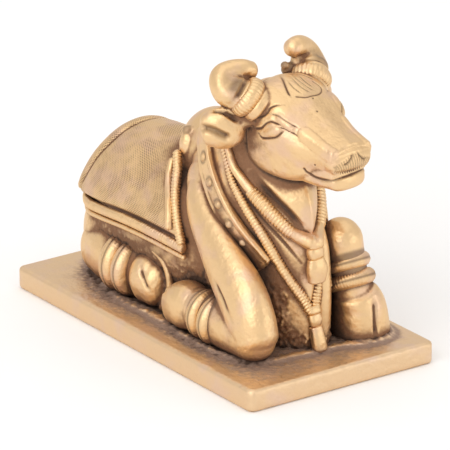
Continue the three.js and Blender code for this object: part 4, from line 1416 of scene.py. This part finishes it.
# %% [markdown]
# ## Brass, buffed and dark
#
# One node group turns the attributes into the finish of old cast brass, and each material sets
# its own amounts. Buffed metal is a pale warm gold, a little pink in places. In narrow creases
# and cut lines it is a very dark brown, in wide recesses a reddish brown: partly the patina the
# hollows keep, and partly painted shade where less light reaches. The line between them is
# broken up by noise, as it is where a rag has passed.


# %% Helpers for node trees
# A mix of colours has its share, first colour and second colour in these sockets.
COLOUR_MIX_SOCKETS = (0, 6, 7)


def feed(tree, socket, value):
    """Links a socket to the one that it is fed from, or sets it to a plain value."""
    if isinstance(value, bpy.types.NodeSocket):
        tree.links.new(value, socket)
    else:
        socket.default_value = value


def add_node(tree, kind, **inputs):
    """A node with its sockets fed by name."""
    node = tree.nodes.new(kind)
    for name, value in inputs.items():
        feed(tree, node.inputs[name.replace("_", " ")], value)
    return node


def maths(tree, operation, *values):
    """The outcome of one sum, product or other operation on values."""
    node = tree.nodes.new("ShaderNodeMath")
    node.operation = operation
    for socket, value in zip(node.inputs, values):
        feed(tree, socket, value)
    return node.outputs[0]


def product(tree, first, second):
    """Two values multiplied."""
    return maths(tree, "MULTIPLY", first, second)


def weighed(tree, start, *parts):
    """A start, and on top of it each part times its weight."""
    total = start
    for part, weight in parts:
        total = maths(tree, "MULTIPLY_ADD", part, weight, total)
    return total


def attribute_of(tree, label):
    """What a mesh keeps under a label."""
    node = tree.nodes.new("ShaderNodeAttribute")
    node.attribute_name = label
    return node.outputs["Fac"]


def grains(tree, size, detail=3.0, roughness=0.55):
    """Noise in object space with grains of a size in millimetres, from 0 to 1."""
    place = tree.nodes.new("ShaderNodeTexCoord").outputs["Object"]
    node = add_node(
        tree, "ShaderNodeTexNoise", Vector=place, Scale=1 / (size * MILLIMETRE), Detail=detail,
        Roughness=roughness,
    )
    return node.outputs["Fac"]


def between(tree, value, start, end):
    """0 below start, 1 above end, and smooth between them."""
    node = add_node(tree, "ShaderNodeMapRange", Value=value, From_Min=start, From_Max=end)
    node.interpolation_type = "SMOOTHSTEP"
    return node.outputs["Result"]


def blend_colours(tree, share, first, second):
    """The first colour, or the second by a share."""
    node = tree.nodes.new("ShaderNodeMix")
    node.data_type = "RGBA"
    for i, value in zip(COLOUR_MIX_SOCKETS, (share, first, second)):
        feed(tree, node.inputs[i], value)
    return node.outputs[2]


# %% The node group of old cast brass
# Brown and Black colour the hollows, for their patina and for the painted shade there.
OLD_BRASS_INPUTS = {
    "Buffed": ("NodeSocketColor", (0.85, 0.59, 0.32, 1)),
    "Buffed Pink": ("NodeSocketColor", (0.81, 0.555, 0.365, 1)),
    "Brown": ("NodeSocketColor", (0.34, 0.19, 0.11, 1)),
    "Black": ("NodeSocketColor", (0.125, 0.075, 0.052, 1)),
    "Dark": ("NodeSocketFloat", 0.0),
    "Smooth": ("NodeSocketFloat", 0.42),
}
OLD_BRASS_OUTPUTS = {
    "Colour": "NodeSocketColor",
    "Roughness": "NodeSocketFloat",
    "Metal": "NodeSocketFloat",
    "Height": "NodeSocketFloat",
}
old_brass = bpy.data.node_groups.new("Old cast brass", "ShaderNodeTree")
for label, (kind, value) in OLD_BRASS_INPUTS.items():
    socket = old_brass.interface.new_socket(label, in_out="INPUT", socket_type=kind)
    socket.default_value = value
for label, kind in OLD_BRASS_OUTPUTS.items():
    old_brass.interface.new_socket(label, in_out="OUTPUT", socket_type=kind)
given = old_brass.nodes.new("NodeGroupInput").outputs
result = old_brass.nodes.new("NodeGroupOutput").inputs

# What each trace on the mesh adds to how dark a place is. Recess and crease add the patina of the
# hollows and painted shade, what stands proud is buffed lighter, and grit paints glints on the tops
# of the sand's grains and shade in its pits.
DARKENING = {"recess": 1.8, "crease": 0.9, "proud": -0.55, "grit": -0.8}
DARK_ON_A_FLAT = 0.36
UNEVENNESS = 0.5
INK_AND_SHADE_SHARE = 0.85
traces = [(attribute_of(old_brass, label), weight) for label, weight in DARKENING.items()]
blotch = maths(old_brass, "SUBTRACT", grains(old_brass, 2.6), 0.5)
speckle = maths(old_brass, "SUBTRACT", grains(old_brass, 0.55, 4.0, 0.65), 0.5)
uneven = weighed(old_brass, blotch, (speckle, 0.8))
hollow = weighed(old_brass, given["Dark"], *traces, (uneven, UNEVENNESS))
hollow = maths(old_brass, "ADD", hollow, DARK_ON_A_FLAT)
# Browned and blackened places are the patina of hollows and cut lines together with painted shade.
browned = between(old_brass, hollow, -0.05, 0.75)
inked_and_shaded = product(old_brass, attribute_of(old_brass, "ink_and_shade"), INK_AND_SHADE_SHARE)
blackened = maths(old_brass, "MAXIMUM", between(old_brass, hollow, 1.0, 1.9), inked_and_shaded)
dull = maths(old_brass, "MAXIMUM", browned, blackened)

tint = between(old_brass, grains(old_brass, 5.0, 2.0), 0.45, 0.72)
colour = blend_colours(old_brass, tint, given["Buffed"], given["Buffed Pink"])
colour = blend_colours(old_brass, browned, colour, given["Brown"])
colour = blend_colours(old_brass, blackened, colour, given["Black"])
rough = weighed(old_brass, given["Smooth"], (dull, 0.28), (speckle, 0.22))
metal = weighed(old_brass, 1.0, (blackened, -0.3))
# Heights in millimetres: fine grain, pits where it is dull, and the waves that filing leaves.
height = weighed(
    old_brass, 0.0, (grains(old_brass, 0.35, 5.0, 0.6), 0.035),
    (product(old_brass, speckle, dull), 0.12), (grains(old_brass, 1.7, 2.0), 0.22),
)
finish = {"Colour": colour, "Roughness": rough, "Metal": metal, "Height": height}
for label, value in finish.items():
    old_brass.links.new(value, result[label])


# %% Materials made with it
def brass_material(name, more_relief=None, dark_label=None, **amounts):
    """A brass with its own amounts.

    more_relief adds to its height and its colour, and dark_label names what darkens it more.
    """
    material = bpy.data.materials.new(name)
    material.use_nodes = True
    tree = material.node_tree
    group = tree.nodes.new("ShaderNodeGroup")
    group.node_tree = old_brass
    for label, value in amounts.items():
        feed(tree, group.inputs[label.replace("_", " ")], value)
    height, colour = group.outputs["Height"], group.outputs["Colour"]
    if more_relief is not None:
        height, colour = more_relief(tree, height, colour)
    if dark_label is not None:
        left_dark = product(tree, attribute_of(tree, dark_label), LEFT_DARK_SHARE)
        feed(tree, group.inputs["Dark"], left_dark)
    bump = add_node(tree, "ShaderNodeBump", Height=height, Strength=1.0, Distance=MILLIMETRE)
    shader = tree.nodes["Principled BSDF"].inputs
    feed(tree, shader["Base Color"], colour)
    feed(tree, shader["Roughness"], group.outputs["Roughness"])
    feed(tree, shader["Metallic"], group.outputs["Metal"])
    feed(tree, shader["Normal"], bump.outputs["Normal"])
    return material


LEFT_DARK_SHARE = 0.3
RIPPLE_HEIGHT = 0.12
HATCH_PITCH_ON_CLOTH = 0.55
HATCH_DEPTH = 0.14
LEAST_PUNCHED = 0.35
HATCH_DARK_SHARE = 0.85
HATCH_DARK = (0.22, 0.11, 0.055, 1)


def punched_hatch(tree, height, colour):
    """Adds the crossed hatch of the cloth to a height, and dark to the foot of its lines."""
    along, around = attribute_of(tree, "along"), attribute_of(tree, "round")
    wobble = product(tree, grains(tree, 3.0, 1.0), 0.5)
    lines = []
    for operation in ("ADD", "SUBTRACT"):
        across = maths(tree, "ADD", maths(tree, operation, along, around), wobble)
        turned = product(tree, across, 2 * math.pi / HATCH_PITCH_ON_CLOTH)
        lines.append(maths(tree, "MULTIPLY_ADD", maths(tree, "SINE", turned), 0.5, 0.5))
    # It is worn in patches a few millimetres wide, and never quite away.
    patch = between(tree, grains(tree, 4.0, 2.0), 0.35, 0.6)
    patch = maths(tree, "ADD", patch, LEAST_PUNCHED)
    punched = product(tree, product(tree, *lines), patch)
    punched = product(tree, punched, attribute_of(tree, "cloth"))
    height = weighed(tree, height, (punched, -HATCH_DEPTH))
    share = product(tree, punched, HATCH_DARK_SHARE)
    return height, blend_colours(tree, share, colour, HATCH_DARK)


def casting_ripples(tree, height, colour):
    """Adds the slab's low casting ripples to a height."""
    return weighed(tree, height, (grains(tree, 1.6, 3.0), RIPPLE_HEIGHT)), colour


figure_brass = brass_material("figure_brass")
cloth_brass = brass_material("cloth_brass", punched_hatch)
slab_brass = brass_material(
    "slab_brass", casting_ripples, "patina", Smooth=0.46, Brown=(0.43, 0.31, 0.245, 1),
    Buffed=(0.8, 0.58, 0.36, 1), Buffed_Pink=(0.78, 0.57, 0.41, 1),
)
for name, made in objects.items():
    material = {"body_and_cloth": cloth_brass, "slab": slab_brass}.get(name, figure_brass)
    made.data.materials.clear()
    made.data.materials.append(material)

# %% [markdown]
# ## The floor, the light and the camera
#
# The picture is a plain product shot: white all round, soft light from above and to the left,
# and a long lens from a little above. The floor is a pale plane, and the lights are wide.

# %% Floor and lights
PALE_GREY = (0.98, 0.98, 0.98, 1)
WARM_WHITE = (1.0, 0.98, 0.96, 1)
bpy.ops.mesh.primitive_plane_add(size=6.0)
floor = bpy.context.object
floor.name = "floor"
floor_material = bpy.data.materials.new("pale_floor")
floor_material.use_nodes = True
floor_shader = floor_material.node_tree.nodes["Principled BSDF"]
floor_shader.inputs["Base Color"].default_value = PALE_GREY
floor_shader.inputs["Roughness"].default_value = 0.9
floor.data.materials.append(floor_material)

world = bpy.data.worlds.new("studio")
bpy.context.scene.world = world
world.use_nodes = True
background = world.node_tree.nodes["Background"].inputs
background["Color"].default_value = WARM_WHITE
background["Strength"].default_value = 0.8

AZIMUTH, ELEVATION = math.radians(54.5), math.radians(21.0)
CAMERA_RIGHT = Vector((math.cos(AZIMUTH), math.sin(AZIMUTH), 0.0))
LEVEL_BACK = Vector((math.sin(AZIMUTH), -math.cos(AZIMUTH), 0.0))
CAMERA_BACK = LEVEL_BACK * math.cos(ELEVATION) + Vector((0, 0, math.sin(ELEVATION)))


def soft_light(name, place, size, power):
    """A square lamp at a place, turned to the figure."""
    lamp = bpy.data.lights.new(name, "AREA")
    lamp.shape = "SQUARE"
    lamp.size = size
    lamp.energy = power
    made = bpy.data.objects.new(name, lamp)
    bpy.context.collection.objects.link(made)
    made.location = place
    made.rotation_euler = (-place).to_track_quat("-Z", "Y").to_euler()


above_left = CAMERA_BACK * 0.8 - CAMERA_RIGHT * 0.5 + Vector((0, 0, 0.3))
from_the_right = CAMERA_BACK * 0.4 + CAMERA_RIGHT * 0.9 + Vector((0, 0, 0.1))
soft_light("key", above_left, size=0.9, power=3.9)
soft_light("overhead", Vector((-0.05, 0.05, 1.0)), size=1.2, power=2.0)
soft_light("right_fill", from_the_right, size=0.5, power=0.9)

# %% Camera
# A lens this long, on a frame this wide, at that distance draws the figure as large as the photo.
LENS = 432.0
FRAME_WIDTH = 36.0
CAMERA_DISTANCE = 1.0
TARGET_RIGHT = 0.55 * MILLIMETRE
TARGET_HEIGHT = 19.8 * MILLIMETRE
target = CAMERA_RIGHT * TARGET_RIGHT + Vector((0, 0, TARGET_HEIGHT))
camera_data = bpy.data.cameras.new("camera")
camera_data.lens = LENS
camera_data.sensor_width = FRAME_WIDTH
camera = bpy.data.objects.new("camera", camera_data)
bpy.context.collection.objects.link(camera)
camera.location = target + CAMERA_BACK * CAMERA_DISTANCE
camera.rotation_euler = CAMERA_BACK.to_track_quat("Z", "Y").to_euler()
bpy.context.scene.camera = camera
bpy.context.scene.view_settings.view_transform = "Standard"
